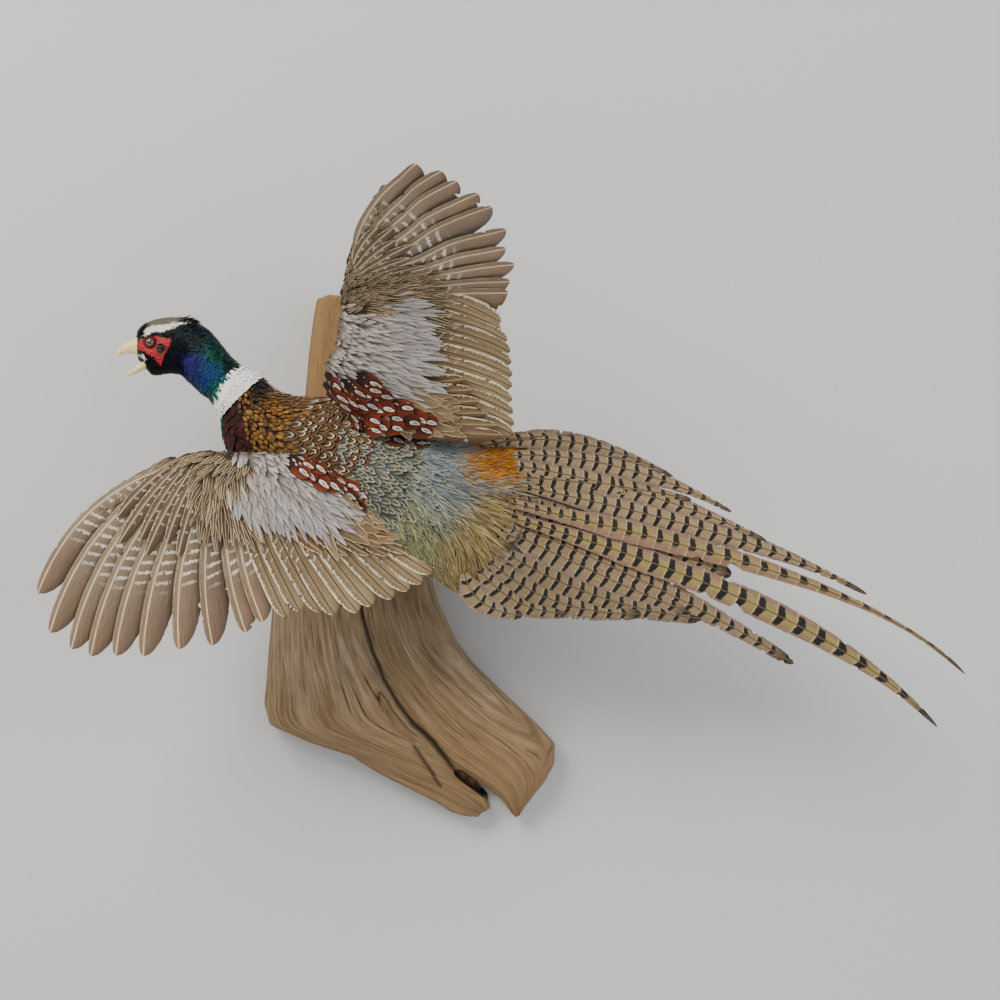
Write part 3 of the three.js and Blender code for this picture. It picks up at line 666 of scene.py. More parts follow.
def vane_form(rings, section):
    """A closed vane in its own frame: x across (-1..1), y along (0..1), z through, as points and faces."""
    bm = bmesh.new()
    first = bmesh.ops.create_circle(bm, cap_ends=False, segments=len(section), radius=1.0)["verts"]
    for vert, (x, z) in zip(first, section):
        vert.co = (x, rings[0], z)
    edges = list(bm.edges)
    for low_ring, high_ring in zip(rings, rings[1:]):
        grown = bmesh.ops.extrude_edge_only(bm, edges=edges)["geom"]
        edges = [part for part in grown if isinstance(part, bmesh.types.BMEdge)]
        moved = [part for part in grown if isinstance(part, bmesh.types.BMVert)]
        bmesh.ops.translate(bm, verts=moved, vec=(0, high_ring - low_ring, 0))
    bmesh.ops.holes_fill(bm, edges=[edge for edge in bm.edges if edge.is_boundary], sides=0)
    bmesh.ops.recalc_face_normals(bm, faces=bm.faces)
    points = np.array([v.co[:] for v in bm.verts])
    faces = [[v.index for v in face.verts] for face in bm.faces]
    starts = [face.index(min(face)) for face in faces]
    faces = sorted(face[at:] + face[:at] for face, at in zip(faces, starts))  # in the same order each run
    bm.free()
    return points, faces


DIAMOND = ((-1, 0), (0, 1), (1, 0), (0, -1))


def unit(vectors):
    """The vectors scaled to length 1."""
    return vectors / np.maximum(np.linalg.norm(vectors, axis=-1, keepdims=True), 1e-12)


def slopes(surface, places, step=1e-3):
    """The surface's two edge directions at each place, by its two coordinates."""
    shift = np.array([step, 0.0])
    along = (surface(places + shift) - surface(places - shift)) / (2 * step)
    round_ = (surface(places + shift[::-1]) - surface(places - shift[::-1])) / (2 * step)
    return along, round_


FULL_TURN = (0.0, 2 * math.pi)


def scatter(span, pitch, seed, surface=body_surface, turn=FULL_TURN):
    """Staggered rows of places over a surface, (row pitch, column pitch) apart in metres, with jitter."""
    draw = np.random.default_rng(seed)
    rows = []
    here = span[0]
    while here < span[1]:
        sample = np.stack([np.full(24, here), np.linspace(turn[0], turn[1], 24)], axis=-1)
        along, round_ = slopes(surface, sample)
        width = np.linalg.norm(round_, axis=-1).mean() * (turn[1] - turn[0])
        count = max(int(width / pitch[1]), 1)
        columns = (np.arange(count) + 0.5 * (len(rows) % 2) + draw.uniform(-0.22, 0.22, count)) / count
        step = pitch[0] / np.linalg.norm(along, axis=-1).mean()
        row = np.full(count, here) + draw.uniform(-0.3, 0.3, count) * step
        rows.append(np.stack([row, turn[0] + columns * (turn[1] - turn[0])], axis=-1))
        here += step
    return np.concatenate(rows)


def lay(surface, outward, places, flow, length, width, form, profile, base=-0.4 * MM, rise=1.2 * MM,
        thick=0.22 * MM, cup=0.3 * MM, twist=0.0, loose=0.1, seed=0):
    """Vane points over a surface: rooted at places, lying along flow, lifted at the tip; and their sizes."""
    draw = np.random.default_rng(seed)
    count = len(places)
    length, width, rise, twist = (np.broadcast_to(v, count)[:, None] for v in (length, width, rise, twist))
    along, round_ = slopes(surface, places)
    normal = unit(np.cross(round_, along)) * outward
    heading = unit(flow - normal * (flow * normal).sum(-1, keepdims=True))
    angle = twist + draw.normal(0, loose, (count, 1))
    aside = np.cross(heading, normal)
    heading, aside = (heading * np.cos(angle) + aside * np.sin(angle),
                      aside * np.cos(angle) - heading * np.sin(angle))
    shape = np.interp(form[:, 1], profile[0], profile[1])
    x = form[:, 0] * shape * width / 2
    y = form[:, 1] * length
    shift = aside[:, None] * x[..., None] + heading[:, None] * y[..., None]
    aa, ab, bb = (along * along).sum(-1), (along * round_).sum(-1), (round_ * round_).sum(-1)
    da, db = (shift * along[:, None]).sum(-1), (shift * round_[:, None]).sum(-1)
    scale = (aa * bb - ab ** 2)[:, None]
    moved = np.stack([(da * bb[:, None] - db * ab[:, None]) / scale,
                      (db * aa[:, None] - da * ab[:, None]) / scale], -1)
    spots = places[:, None, :] + moved
    over_along, over_round = slopes(surface, spots)
    over = unit(np.cross(over_round, over_along)) * outward
    lifted = rise * draw.uniform(0.7, 1.35, (count, 1)) * form[:, 1] ** 1.6
    height = base + lifted + form[:, 2] * thick * (1 - 0.6 * form[:, 1]) - cup * form[:, 0] ** 2 * shape
    points = surface(spots) + over * height[..., None]
    return points, np.stack([np.broadcast_to(x, y.shape), y], -1) / MM


def vane_piece(name, points, faces, form, size, ground, patches, material, bars=None, flip=None,
               patch=PATCH):
    """One mesh of many like vanes with their maps: Vane, Size, Bar and OFBake, and their colour and tone."""
    count, corners = points.shape[:2]
    draw = np.random.default_rng(len(name) + count)
    lengths = np.array([len(face) for face in faces])
    loops = np.concatenate([np.array(face) for face in faces])
    backwards = np.concatenate([np.array(face[::-1]) for face in faces])
    flip = np.zeros(count, bool) if flip is None else flip
    loops = np.where(flip[:, None], backwards, loops) + (np.arange(count) * corners)[:, None]
    mesh = bpy.data.meshes.new(name)
    mesh.vertices.add(count * corners)
    mesh.vertices.foreach_set("co", points.reshape(-1).astype(np.float32))
    mesh.loops.add(loops.size)
    mesh.loops.foreach_set("vertex_index", loops.reshape(-1).astype(np.int32))
    mesh.polygons.add(count * len(faces))
    starts = np.concatenate([[0], np.cumsum(lengths)[:-1]])
    starts = (starts[None, :] + (np.arange(count) * lengths.sum())[:, None]).reshape(-1)
    mesh.polygons.foreach_set("loop_start", starts.astype(np.int32))
    mesh.update(calc_edges=True)
    flat = loops.reshape(-1)
    across = np.broadcast_to(form[:, 0], (count, corners))
    along = np.broadcast_to(form[:, 1], (count, corners))
    spot = patches[:, None, :] + np.stack([across / 2, along - 0.5], -1) * np.asarray(patch)
    maps = {"Vane": np.stack([across, along], -1), "Size": size, "OFBake": spot}
    if bars is not None:
        maps["Bar"] = bars
    for title, values in maps.items():
        layer = mesh.uv_layers.new(name=title, do_init=False)
        layer.data.foreach_set("uv", values.reshape(-1, 2)[flat].reshape(-1).astype(np.float32))
    colour = mesh.attributes.new("Ground", "FLOAT_COLOR", "POINT")
    rgba = np.ones((count, corners, 4))
    rgba[..., :3] = ground[:, None, :]
    colour.data.foreach_set("color", rgba.reshape(-1).astype(np.float32))
    tone = mesh.attributes.new("Tone", "FLOAT", "POINT")
    tone.data.foreach_set("value", np.repeat(draw.uniform(0, 1, count), corners).astype(np.float32))
    mesh.shade_smooth()
    mesh.set_sharp_from_angle(angle=math.radians(70))
    mesh.materials.append(material)
    piece = bpy.data.objects.new(name, mesh)
    bpy.context.collection.objects.link(piece)
    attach(piece, "root")
    return piece


def lattice(count):
    """Places for so many small patches in rows over a map, in the order that the feathers were set."""
    side = math.ceil(math.sqrt(count))
    order = np.arange(count)
    return (np.stack([order % side, order // side], -1) + 0.5) / side


def add_barbs(tree, shader, colour, beside, run, slant, pitch, loose, comb, shades, relief):
    """Combs barbs into a feather's colour and gives them relief, the last layers of each feather material.

    They leave the shaft at a slant. Drawn pitch mm apart they show; on the bird they are finer."""
    leaning = add(tree, "Math", beside, slant, run, operation="MULTIPLY_ADD")
    phase = add(tree, "Math", leaning, 2 * math.pi / pitch, operation="MULTIPLY")
    shifted = add(tree, "Math", *loose, phase, operation="MULTIPLY_ADD")
    barbs = add(tree, "Math", shifted, operation="SINE")
    shade = add(tree, "MapRange", barbs, -1.0, 1.0, *comb)
    for layer in shades:
        shade = add(tree, "Math", shade, layer, operation="MULTIPLY")
    final = add(tree, "VectorMath", colour, shade, operation="SCALE")
    tree.links.new(final, shader.inputs["Base Color"])
    bump = add(tree, "Bump", Height=barbs, Strength=relief[0], Distance=relief[1])
    tree.links.new(bump, shader.inputs["Normal"])


def plume_material(name, rings=(), focus=0.6, spread=(1.0, 2.2), shaft=None, gloss=0.62, metal=0.0,
                   tone=(0.82, 1.12), barb=0.75, sheen=0.08, root="#2a221b", root_end=0.3):
    """Feather keratin with velvety barbs: a ground colour, ring marks about a focus on the shaft, a line."""
    material, tree, shader = start_material(name, Roughness=gloss, Metallic=metal, Sheen_Weight=sheen,
                                            Sheen_Roughness=0.4)
    shader.inputs["Specular IOR Level"].default_value = 0.2
    colour = add(tree, "Attribute", attribute_name="Ground")
    level = add(tree, "Attribute", attribute_name="Tone", out="Fac")
    vane = add(tree, "UVMap", uv_map="Vane")
    size = add(tree, "UVMap", uv_map="Size")
    along = add(tree, "SeparateXYZ", vane, out=1)
    off, run, _ = add(tree, "SeparateXYZ", size).node.outputs
    rough = add(tree, "TexNoise", size, 0.9, 2.0)
    if rings:
        placed = add(tree, "Mapping", vane, (0, -focus * spread[1], 0), Scale=(spread[0], spread[1], 1))
        far = add(tree, "VectorMath", placed, operation="LENGTH")
        torn = add(tree, "Math", rough, 0.14, -0.07, operation="MULTIPLY_ADD")
        ragged = add(tree, "Math", far, torn, operation="ADD")
        scaled = add(tree, "Math", ragged, 0.5, operation="MULTIPLY")
        marks = add(tree, "ValToRGB", scaled, ramp=rings)
        colour = add(tree, "Mix", marks.node.outputs["Alpha"], colour, marks)
    beside = add(tree, "Math", off, operation="ABSOLUTE")
    if shaft:
        line = add(tree, "MapRange", beside, 0.15, 0.42, 0.85, 0.0)
        colour = add(tree, "Mix", line, colour, shaft)
    down = add(tree, "MapRange", along, root_end - 0.12, root_end + 0.12, 0.92, 0.0)
    rooted = add(tree, "Mix", down, colour, root)
    light = add(tree, "MapRange", level, To_Min=tone[0], To_Max=tone[1])
    add_barbs(tree, shader, rooted, beside, run, slant=-1.1, pitch=0.7, loose=(rough, 9.0),
              comb=(1 - 0.3 * barb, 1 + 0.14 * barb), shades=[light], relief=(0.35, 0.12 * MM))
    return material


SMALL_FORM = vane_form(SMALL_RINGS, DIAMOND)
FINE_FORM = vane_form(FINE_RINGS, DIAMOND)
coat_roots, coat_colours = [], []


def coat(name, places, length, width, ground, material, slot="body_plumage", surface=body_surface,
         outward=1, flow=None, profile=ROUND_TIP, fine=False, bar=0.0, **lie):
    """One tract of vanes, laid tailwards or along flow; keeps their places and colours for the skin."""
    form, faces = FINE_FORM if fine else SMALL_FORM
    outline = (FINE_RINGS, FINE_TIP) if fine else (SMALL_RINGS, profile)
    flow = slopes(surface, places)[0] if flow is None else flow
    points, size = lay(surface, outward, places, flow, length, width, form, outline, **lie)
    ground = np.broadcast_to(ground, (len(places), 3))
    coat_roots.append(points.mean(1))
    coat_colours.append(ground)
    bars = None
    if bar:
        shift = lots(len(places), (len(places), 1))
        bars = np.stack([np.broadcast_to(form[:, 0], size.shape[:2]), size[..., 1] / bar + shift], -1)
    return vane_piece(name, points, faces, form, size, ground, lattice(len(places)), material,
                      bars=bars)


def blend(share, first, second):
    """A colour for each feather between two rows of linear colours."""
    share = np.asarray(share)[..., None]
    return first * (1 - share) + second * share


def lots(seed, count):
    """A random share, 0 to 1, for each of so many feathers."""
    return np.random.default_rng(seed).uniform(0, 1, count)


def mixed(seed, count, first, second):
    """A colour for each of so many feathers, at random between two hex colours."""
    return blend(lots(seed, count), tint(first), tint(second))


# ---- head and neck plumage -----------------------------------------------------------------------
# Short dense feathers with a metallic gloss, black-green to violet in painted patches of sheen and shade, an
# olive crown over a white brow, and two small ear tufts. They stop short at the red wattles round the eyes,
# but for a black patch by the eye.

gloss_feather = plume_material("glossy_head_feather", gloss=0.4, metal=0.5, tone=(0.3, 1.9), barb=0.6,
                               sheen=0.0, root="#040506", root_end=0.42)
matt_feather = plume_material("matt_crown_feather", gloss=0.7, tone=(0.8, 1.15), barb=0.5, root="#2b2a22",
                              root_end=0.0)
places = scatter((0.25, 8.5), (1.75 * MM, 1.9 * MM), 31)
roots = body_surface(places)
bare_face = outline_distance(roots[:, 0] / MM, roots[:, 2] / MM, WATTLE) > 0.3
bare_face &= ellipse(roots[:, 0] / MM, roots[:, 2] / MM, *EYE_PATCH) > 1
bare_face &= np.abs(roots[:, 1] - HEAD_MIDDLE) > 5 * MM
bill_root = (roots[:, 0] < -206 * MM) & (roots[:, 2] > 134 * MM) & (roots[:, 2] < 162 * MM)
places = places[~bare_face & ~bill_root]
roots = body_surface(places)
shine = head_colour(roots)
pale = shine.max(1) > 0.085
grown = smooth_step(roots[:, 0], -195 * MM, -140 * MM)
for name, pick, material in (("head_and_neck_gloss", ~pale, gloss_feather),
                             ("crown_and_brow", pale, matt_feather)):
    coat(name, places[pick], (5.0 + 4.5 * grown[pick]) * MM, (2.7 + 2.0 * grown[pick]) * MM, shine[pick],
         material, "head_plumage", fine=True, base=-1.0 * MM, rise=(1.5 + 0.7 * grown[pick]) * MM,
         thick=0.2 * MM, cup=0.15 * MM, loose=0.2, seed=32)
for name, turn in (("ear_tuft_right", -30), ("ear_tuft_left", 30)):
    tuft = scatter((3.35, 3.95), (1.5 * MM, 1.2 * MM), 33,
                   turn=(math.radians(turn - 5), math.radians(turn + 5)))
    coat(name, tuft, 19 * MM, 2.0 * MM, tint("#0c100f"), gloss_feather, "head_plumage",
         flow=slopes(body_surface, tuft)[0] + np.array([0, 0, 0.006]), profile=LANCE_TIP, base=-0.5 * MM,
         rise=4.6 * MM, loose=0.12, seed=34)

white_feather = plume_material("white_collar_feather", gloss=0.75, tone=(0.93, 1.0), barb=0.4,
                               root="#bab6b1", root_end=0.05)
places = scatter((8.5, 9.78), (2.0 * MM, 2.2 * MM), 35)
coat("white_collar", places, 8 * MM, 4.6 * MM, tint("#f4f2ef"), white_feather,
     "collar_plumage", base=0.1 * MM, rise=2.0 * MM, thick=0.3 * MM, seed=36)


# ---- body plumage --------------------------------------------------------------------------------
# The mantle is gold with black marks, the scapulars chestnut with pale eyes, the lower back grey-green with
# black chevrons, the breast maroon and the belly black-brown. All of it lies towards the tail.

mantle_feather = plume_material(
    "gold_mantle_feather", focus=1.0, spread=(1.7, 2.5), tone=(0.6, 1.2), root="#1c120b", root_end=0.38,
    rings=[(0.0, "#0c0907", 1.0), (0.2, "#0c0907", 1.0), (0.25, "#5a3a14", 0.4), (0.3, "#5a3a14", 0.0),
           (0.56, "#3a2410", 0.0), (0.66, "#120c08", 0.9)])
places = scatter((9.78, 13.7), (4.4 * MM, 4.0 * MM), 41)
round_back = off_spine(places)
reach = np.interp(places[:, 0], [10, 11, 12, 13.0, 13.7], [58, 54, 70, 58, 26])
places = places[np.abs(round_back) < reach]
down = smooth_step(places[:, 0], 10, 14)
nape = (1 - smooth_step(places[:, 0], 10.1, 11.3)) * (1 - smooth_step(np.abs(off_spine(places)), 14, 50))
gold = mixed(5, len(places), "#6c4416", "#9a6c29")
coat("mantle", places, (12.5 + 5 * down) * MM, (5.6 + 3.0 * down) * MM,
     blend(0.93 * nape, gold, tint("#0b0d0b")), mantle_feather, profile=LANCE_TIP, base=-0.8 * MM,
     rise=3.0 * MM, loose=0.14, seed=42)

saddle_feather = plume_material("scalloped_saddle_feather", focus=0.6, spread=(1.1, 2.2),
                                tone=(0.65, 1.15), root="#3b2b1a", root_end=0.62,
                                rings=[(0.0, "#6b5636", 0.5), (0.16, "#2a1e14", 0.8),
                                       (0.225, "#e0d6c0", 0.95), (0.25, "#e0d6c0", 0.95),
                                       (0.27, "#0b0806", 1.0), (0.37, "#0b0806", 1.0),
                                       (0.4, "#775528", 0.8), (0.6, "#5f4322", 0.5)])
places = scatter((12.5, 14.3), (7.4 * MM, 8.2 * MM), 40)
reach = np.interp(places[:, 0], [12.5, 13.3, 14.3], [26, 54, 22])
places = places[np.abs(off_spine(places)) < reach]
coat("saddle", places, 21 * MM, 12 * MM, mixed(4, len(places), "#6a4119", "#50361e"), saddle_feather,
     base=0.0 * MM, rise=3.6 * MM, loose=0.1, seed=39)

scapular_feather = plume_material(
    "eyed_scapular_feather", focus=0.78, spread=(1.25, 1.6), tone=(0.65, 1.2), root="#150b06", root_end=0.42,
    rings=[(0.0, "#756d64", 1.0), (0.06, "#8d857a", 1.0), (0.13, "#dcd5c7", 1.0), (0.16, "#e4ddcf", 1.0),
           (0.175, "#0a0706", 1.0), (0.225, "#0a0706", 1.0), (0.27, "#6e2f18", 0.0), (0.42, "#6e2f18", 0.0),
           (0.5, "#7d4019", 0.4)])
places = scatter((12.5, 15.1), (11.5 * MM, 12 * MM), 43)
round_back = off_spine(places)
inner_edge = np.interp(places[:, 0], [12.5, 13.4, 14.4, 15.7], [62, 46, 28, 34])
places = places[(np.abs(round_back) > inner_edge) & (np.abs(round_back) < 100)
                & (places[:, 0] < np.where(round_back > 0, 14.4, 15.1))]
coat("scapulars", places, 29 * MM, 18 * MM,
     mixed(6, len(places), "#6d240d", "#4c180a"),
     scapular_feather, base=0.6 * MM, rise=4.4 * MM, loose=0.14, seed=44)

back_feather = plume_material(
    "chevroned_back_feather", focus=0.7, spread=(1.2, 2.5), tone=(0.65, 1.15), root="#4d5048", root_end=0.6,
    rings=[(0.0, "#5d6054", 0.6), (0.1, "#0d0a08", 0.95), (0.22, "#0d0a08", 0.95), (0.245, "#d6c99e", 0.95),
           (0.28, "#d6c99e", 0.9), (0.31, "#2c2a24", 0.6), (0.42, "#6f7368", 0.0)])
places = scatter((13.7, 16.3), (6.0 * MM, 5.4 * MM), 45)
places = places[np.abs(off_spine(places)) < np.interp(places[:, 0], [13.7, 14.6, 16.3], [18, 40, 66])]
plain = lots(3, len(places)) < smooth_step(places[:, 0], 14.8, 16.3) * 0.9
places = places[~plain]
coat("lower_back", places, 18 * MM, 7.6 * MM,
     mixed(7, len(places), "#747d7d", "#80836a"),
     back_feather, profile=LANCE_TIP, base=0.4 * MM, rise=3.4 * MM, loose=0.2, seed=46)

breast_feather = plume_material(
    "maroon_breast_feather", focus=0.75, spread=(1.0, 1.8), gloss=0.6, sheen=0.0, tone=(0.75, 1.25),
    rings=[(0.0, "#3a1411", 0.0), (0.3, "#3a1411", 0.0), (0.42, "#120a0e", 0.9), (0.6, "#120a0e", 0.9)])
places = scatter((9.95, 13.4), (5 * MM, 5.2 * MM), 47)
reach = np.interp(places[:, 0], [10, 11, 12, 13.4], [50, 46, 60, 80])
places = places[np.abs(off_spine(places)) > reach]
coat("breast", places, 14 * MM, 9 * MM,
     mixed(8, len(places), "#220603", "#3f0e07"),
     breast_feather, base=-0.6 * MM, rise=2.2 * MM, seed=48)

flank_feather = plume_material(
    "gold_flank_feather", focus=0.95, spread=(1.0, 2.4), tone=(0.78, 1.15), root="#2c1c10",
    rings=[(0.0, "#0f0b12", 1.0), (0.2, "#0f0b12", 1.0), (0.26, "#b5792f", 0.0)])
places = scatter((12.6, 16.8), (7.5 * MM, 7.5 * MM), 49)
round_back = np.abs(off_spine(places))
upper_edge = np.interp(places[:, 0], [12.6, 13.6, 16.8], [100, 84, 66])
places = places[(round_back > upper_edge) & (round_back < 138)]
coat("flanks", places, 22 * MM, 12 * MM,
     mixed(9, len(places), "#b0742c", "#9a5f28"), flank_feather, base=-0.5 * MM, rise=2.6 * MM, seed=50)

belly_feather = plume_material("black_belly_feather", gloss=0.7, tone=(0.7, 1.3), barb=1.0, root="#14100d")
places = scatter((12.8, 20.0), (6.5 * MM, 6.5 * MM), 51)
round_back = np.abs(off_spine(places))
places = places[round_back > np.interp(places[:, 0], [12.8, 16.4, 18, 20], [134, 130, 100, 96])]
rear = smooth_step(places[:, 0], 16.2, 18.5)
coat("belly_and_vent", places, (20 + 8 * rear) * MM, (10 - 2 * rear) * MM,
     blend(rear, tint("#1f1712"), tint("#4c2c1a")), belly_feather, base=-0.5 * MM, rise=3 * MM,
     seed=52)


# ---- rump and tail coverts -----------------------------------------------------------------------
# Loose silky feathers, more hair than vane: slate blue along the back, greenish lower down, straw on the
# side, with an orange tuft on the right of the tail root. They spill over the roots of the tail.

silk_feather = plume_material("silky_rump_feather", gloss=0.5, tone=(0.5, 1.25), barb=0.9, root="#3c3b33",
                              root_end=0.2, sheen=0.3)
places = scatter((14.6, 17.6), (3.3 * MM, 2.0 * MM), 61)
round_back = off_spine(places)
start = np.interp(np.abs(round_back), [0, 30, 60, 100], [15.3, 15.2, 14.8, 15.2])
end = np.interp(round_back, [-100, -30, 0, 40, 90], [16.4, 17.1, 17.3, 17.4, 17.5])
places = places[(np.abs(round_back) < 112) & (places[:, 0] > start) & (places[:, 0] < end)]
round_back = off_spine(places)
lower_side = smooth_step(round_back, -22, 24) * smooth_step(places[:, 0], 14.6, 15.4)
straw = smooth_step(places[:, 0] + 0.25 * lower_side, 16.05, 16.8)
lot = lots(11, len(places))
ground = blend(lower_side, blend(lot, tint("#727c80"), tint("#9aa0a0")),
               blend(lot, tint("#787e58"), tint("#aaaa7a")))
ground = blend(straw, ground, blend(lot, tint("#806a3c"), tint("#b59f6c")))
twist = 0.1 + 0.5 * lower_side + 0.35 * straw * smooth_step(round_back, -30, 30)
coat("rump_silk", places, (25 + 14 * straw) * MM, 1.7 * MM, ground,
     silk_feather, "rump_plumage", profile=STRAND_TIP, base=-0.2 * MM, rise=4.2 * MM, thick=0.3 * MM,
     twist=twist, loose=0.2, seed=62)
places = scatter((15.9, 17.5), (3.0 * MM, 1.9 * MM), 63)
round_back = off_spine(places)
places = places[(round_back < -22) & (round_back > -104)]
orange = smooth_step(places[:, 0], 15.9, 16.3) * (1 - smooth_step(places[:, 0], 17.0, 17.5))
orange *= smooth_step(-off_spine(places), 26, 40)
lot = lots(12, len(places))
coat("orange_tuft", places, (24 + 16 * lot) * MM, 1.9 * MM,
     blend(np.where(lot < orange * 1.45, 0.8 + lot * 0.25, 0).clip(0, 1),
           blend(lot, tint("#6d7176"), tint("#a08d6a")), tint("#b4700a")), silk_feather, "rump_plumage",
     profile=STRAND_TIP, base=1.0 * MM, rise=4.8 * MM, thick=0.3 * MM, twist=0.02, loose=0.18, seed=64)


# ---- wings ---------------------------------------------------------------------------------------
# Each spread wing keeps its own bones and quills, wired through the arm. Ten primaries and eleven
# secondaries overlap like a fan, inner over outer, and rows of coverts lie over their roots on both faces.

# In a wing's own sheet s runs out along the arm from the wrist, t back to the feather tips and c off the
# upper side. Arm stations: [s, leading t, trailing t, middle c, thickness], in mm.
LEFT_WING = dict(
    wrist=(-103.5, -222, 38.6), yaw=15, pitch=-4, hand_pitch=-4, mirrored=False,
    arm=[(-116, 8, 78, -6, 30), (-95, 0, 74, -3, 28), (-60, -5, 62, 0, 21), (-25, -7, 54, 0, 17),
         (0, -7, 50, 0, 14), (31, -8, 46, 0, 11), (64, 1, 45, 0, 8), (91, 14, 50, 0, 6),
         (120, 33, 62, 0, 4.4), (144, 53, 74, 0, 3.2)],
    primaries=[(187, 126), (176, 163), (156, 179), (138, 186), (115, 186),
               (89, 187), (55, 181), (23, 178), (-9, 166), (-25, 156)],
    secondaries=[(-48, 151), (-61, 146), (-81, 147), (-95, 150), (-118, 148), (-132, 142),
                 (-153, 135), (-169, 127), (-182, 120), (-192, 110), (-196, 98)],
    hand_root=(66, 8), wrist_root=(2, 16), elbow_root=(-96, 30), bow=21)
RIGHT_WING = dict(
    wrist=(5.6, -262, 186), yaw=0, pitch=28, hand_pitch=52, mirrored=True,
    arm=[(-122, -4, 84, -18, 50), (-94, -24, 84, -14, 44), (-64, -22, 80, -4, 30), (-38, -11, 75, 0, 20),
         (-7, -7, 67, 0, 16), (12, -4, 60, 0, 13), (51, 4, 51, 0, 10), (83, 13, 47, 0, 7),
         (114, 25, 47, 0, 5), (138, 37, 50, 0, 3.4)],
    primaries=[(171, 71), (162, 93), (149, 106), (132, 125), (115, 137),
               (85, 150), (60, 150), (39, 158), (18, 154), (4, 152)],
    secondaries=[(-24, 145), (-31, 145), (-43, 151), (-55, 154), (-67, 155), (-80, 156),
                 (-92, 156), (-106, 156), (-120, 157), (-133, 158), (-143, 157)],
    hand_root=(62, 10), wrist_root=(4, 14), elbow_root=(-94, 14), bow=14)
WRIST_BEND = 10                     # how softly the hand's sheet turns into the forearm's, in mm
DROOP = 0.0006                      # how fast the wing curves down behind the arm, per mm squared
QUILL_RINGS = 60
WING_BAR = 10.5                     # from one white bar to the next, in mm


def wing_sheet(wing, s, t, c):
    """Points of a wing's sheet, in metres, for s, t and c in millimetres."""
    turn = math.radians(wing["yaw"])
    level = np.array([math.cos(turn), math.sin(turn), 0])
    uprights, outs = [], []
    for pitch in (math.radians(wing["pitch"]), math.radians(wing["hand_pitch"])):
        lean, rise = math.sin(pitch), math.cos(pitch)
        upright = np.array([lean * math.sin(turn), -lean * math.cos(turn), rise])
        uprights.append(upright)
        outs.append(np.cross(level, upright))
    s, t, c = np.broadcast_arrays(s, t, c)
    soft = np.sqrt(s ** 2 + WRIST_BEND ** 2)
    share = (1 + s / soft)[..., None] / 2
    out = unit(outs[0] * (1 - share) + outs[1] * share)
    if wing["mirrored"]:
        flat = level * t[..., None] + uprights[0] * ((s - soft) / 2)[..., None]
        flat = flat + uprights[1] * ((s + soft) / 2)[..., None]
    else:
        flat = -level * s[..., None] - uprights[0] * t[..., None]
    return (np.array(wing["wrist"]) + flat + out * c[..., None]) * MM


def behind_arm(t):
    """How far the sheet has curved down at a distance t back from the leading edge."""
    return -DROOP * np.maximum(t - 40, 0) ** 2


def arm_surface(wing, upper):
    """One face of the feathered arm at (share from leading to trailing edge, s in mm / 100) pairs."""
    table = np.array(wing["arm"], float)

    def surface(places):
        share, s = places[..., 0], places[..., 1] * 100
        station = np.interp(s, table[:, 0], np.arange(len(table)))
        lead, trail, middle, thick = np.moveaxis(smooth_columns(table[:, 1:], station), -1, 0)
        t = lead + (trail - lead) * share
        off = np.clip(2 * share - 1, -0.999, 0.2)
        bulge = np.sqrt(1 - off ** 2) * (1 - smooth_step(share, 0.6, 1.25) * 0.92)
        face = thick / 2 * bulge + 1.5 * smooth_step(share, 0.6, 1.0)
        face = middle * (1 - smooth_step(share, 0.7, 1.2)) + (face if upper else -face)
        return wing_sheet(wing, s, t, face + behind_arm(t))

    return surface


def over_hand(wing, s, t):
    """How far in mm the primaries stand off the sheet to lie on the outer hand's skin."""
    table = np.array(wing["arm"], float)
    lead, trail, thick = (np.interp(s, table[:, 0], table[:, column]) for column in (1, 2, 4))
    share = (t - lead) / (trail - lead)
    return (thick / 2 + 2.8) * smooth_step(s, 25, 70) * (1 - smooth_step(share, 1.3, 2.4))


def quill_roots(wing):
    """Roots and tips of the flight feathers, outermost first, as (s, t) rows."""
    tips = np.array(wing["primaries"] + wing["secondaries"], float)
    hand, wrist, elbow = (np.array(wing[key], float) for key in ("hand_root", "wrist_root", "elbow_root"))
    primary = [hand + (wrist - hand) * share for share in np.linspace(0, 1, len(wing["primaries"]))]
    secondary = [wrist + (elbow - wrist) * share for share in np.linspace(0, 1, len(wing["secondaries"]))]
    return np.array(primary + secondary), tips


def quill_flow(wing, places):
    """Directions in space of the flight feathers that lie nearest to places on the arm."""
    roots, tips = quill_roots(wing)
    order = np.argsort(roots[:, 0], kind="stable")
    heading = unit(tips - roots)[order]
    s = places[:, 1] * 100
    ds, dt = (np.interp(s, roots[order, 0], heading[:, k]) for k in (0, 1))
    here = wing_sheet(wing, s, 0 * s, 0 * s)
    return unit(wing_sheet(wing, s + ds, dt, 0 * s) - here)


# across from trailing edge (-1) over the shaft (0) to leading edge (1), and back underneath
QUILL_SECTION = ((-1, 0), (-0.5, 0.4), (-0.05, 0.5), (0, 1.6), (0.12, 0.5), (1, 0), (0.5, -0.4), (0, -1.6),
                 (-0.12, -0.4))


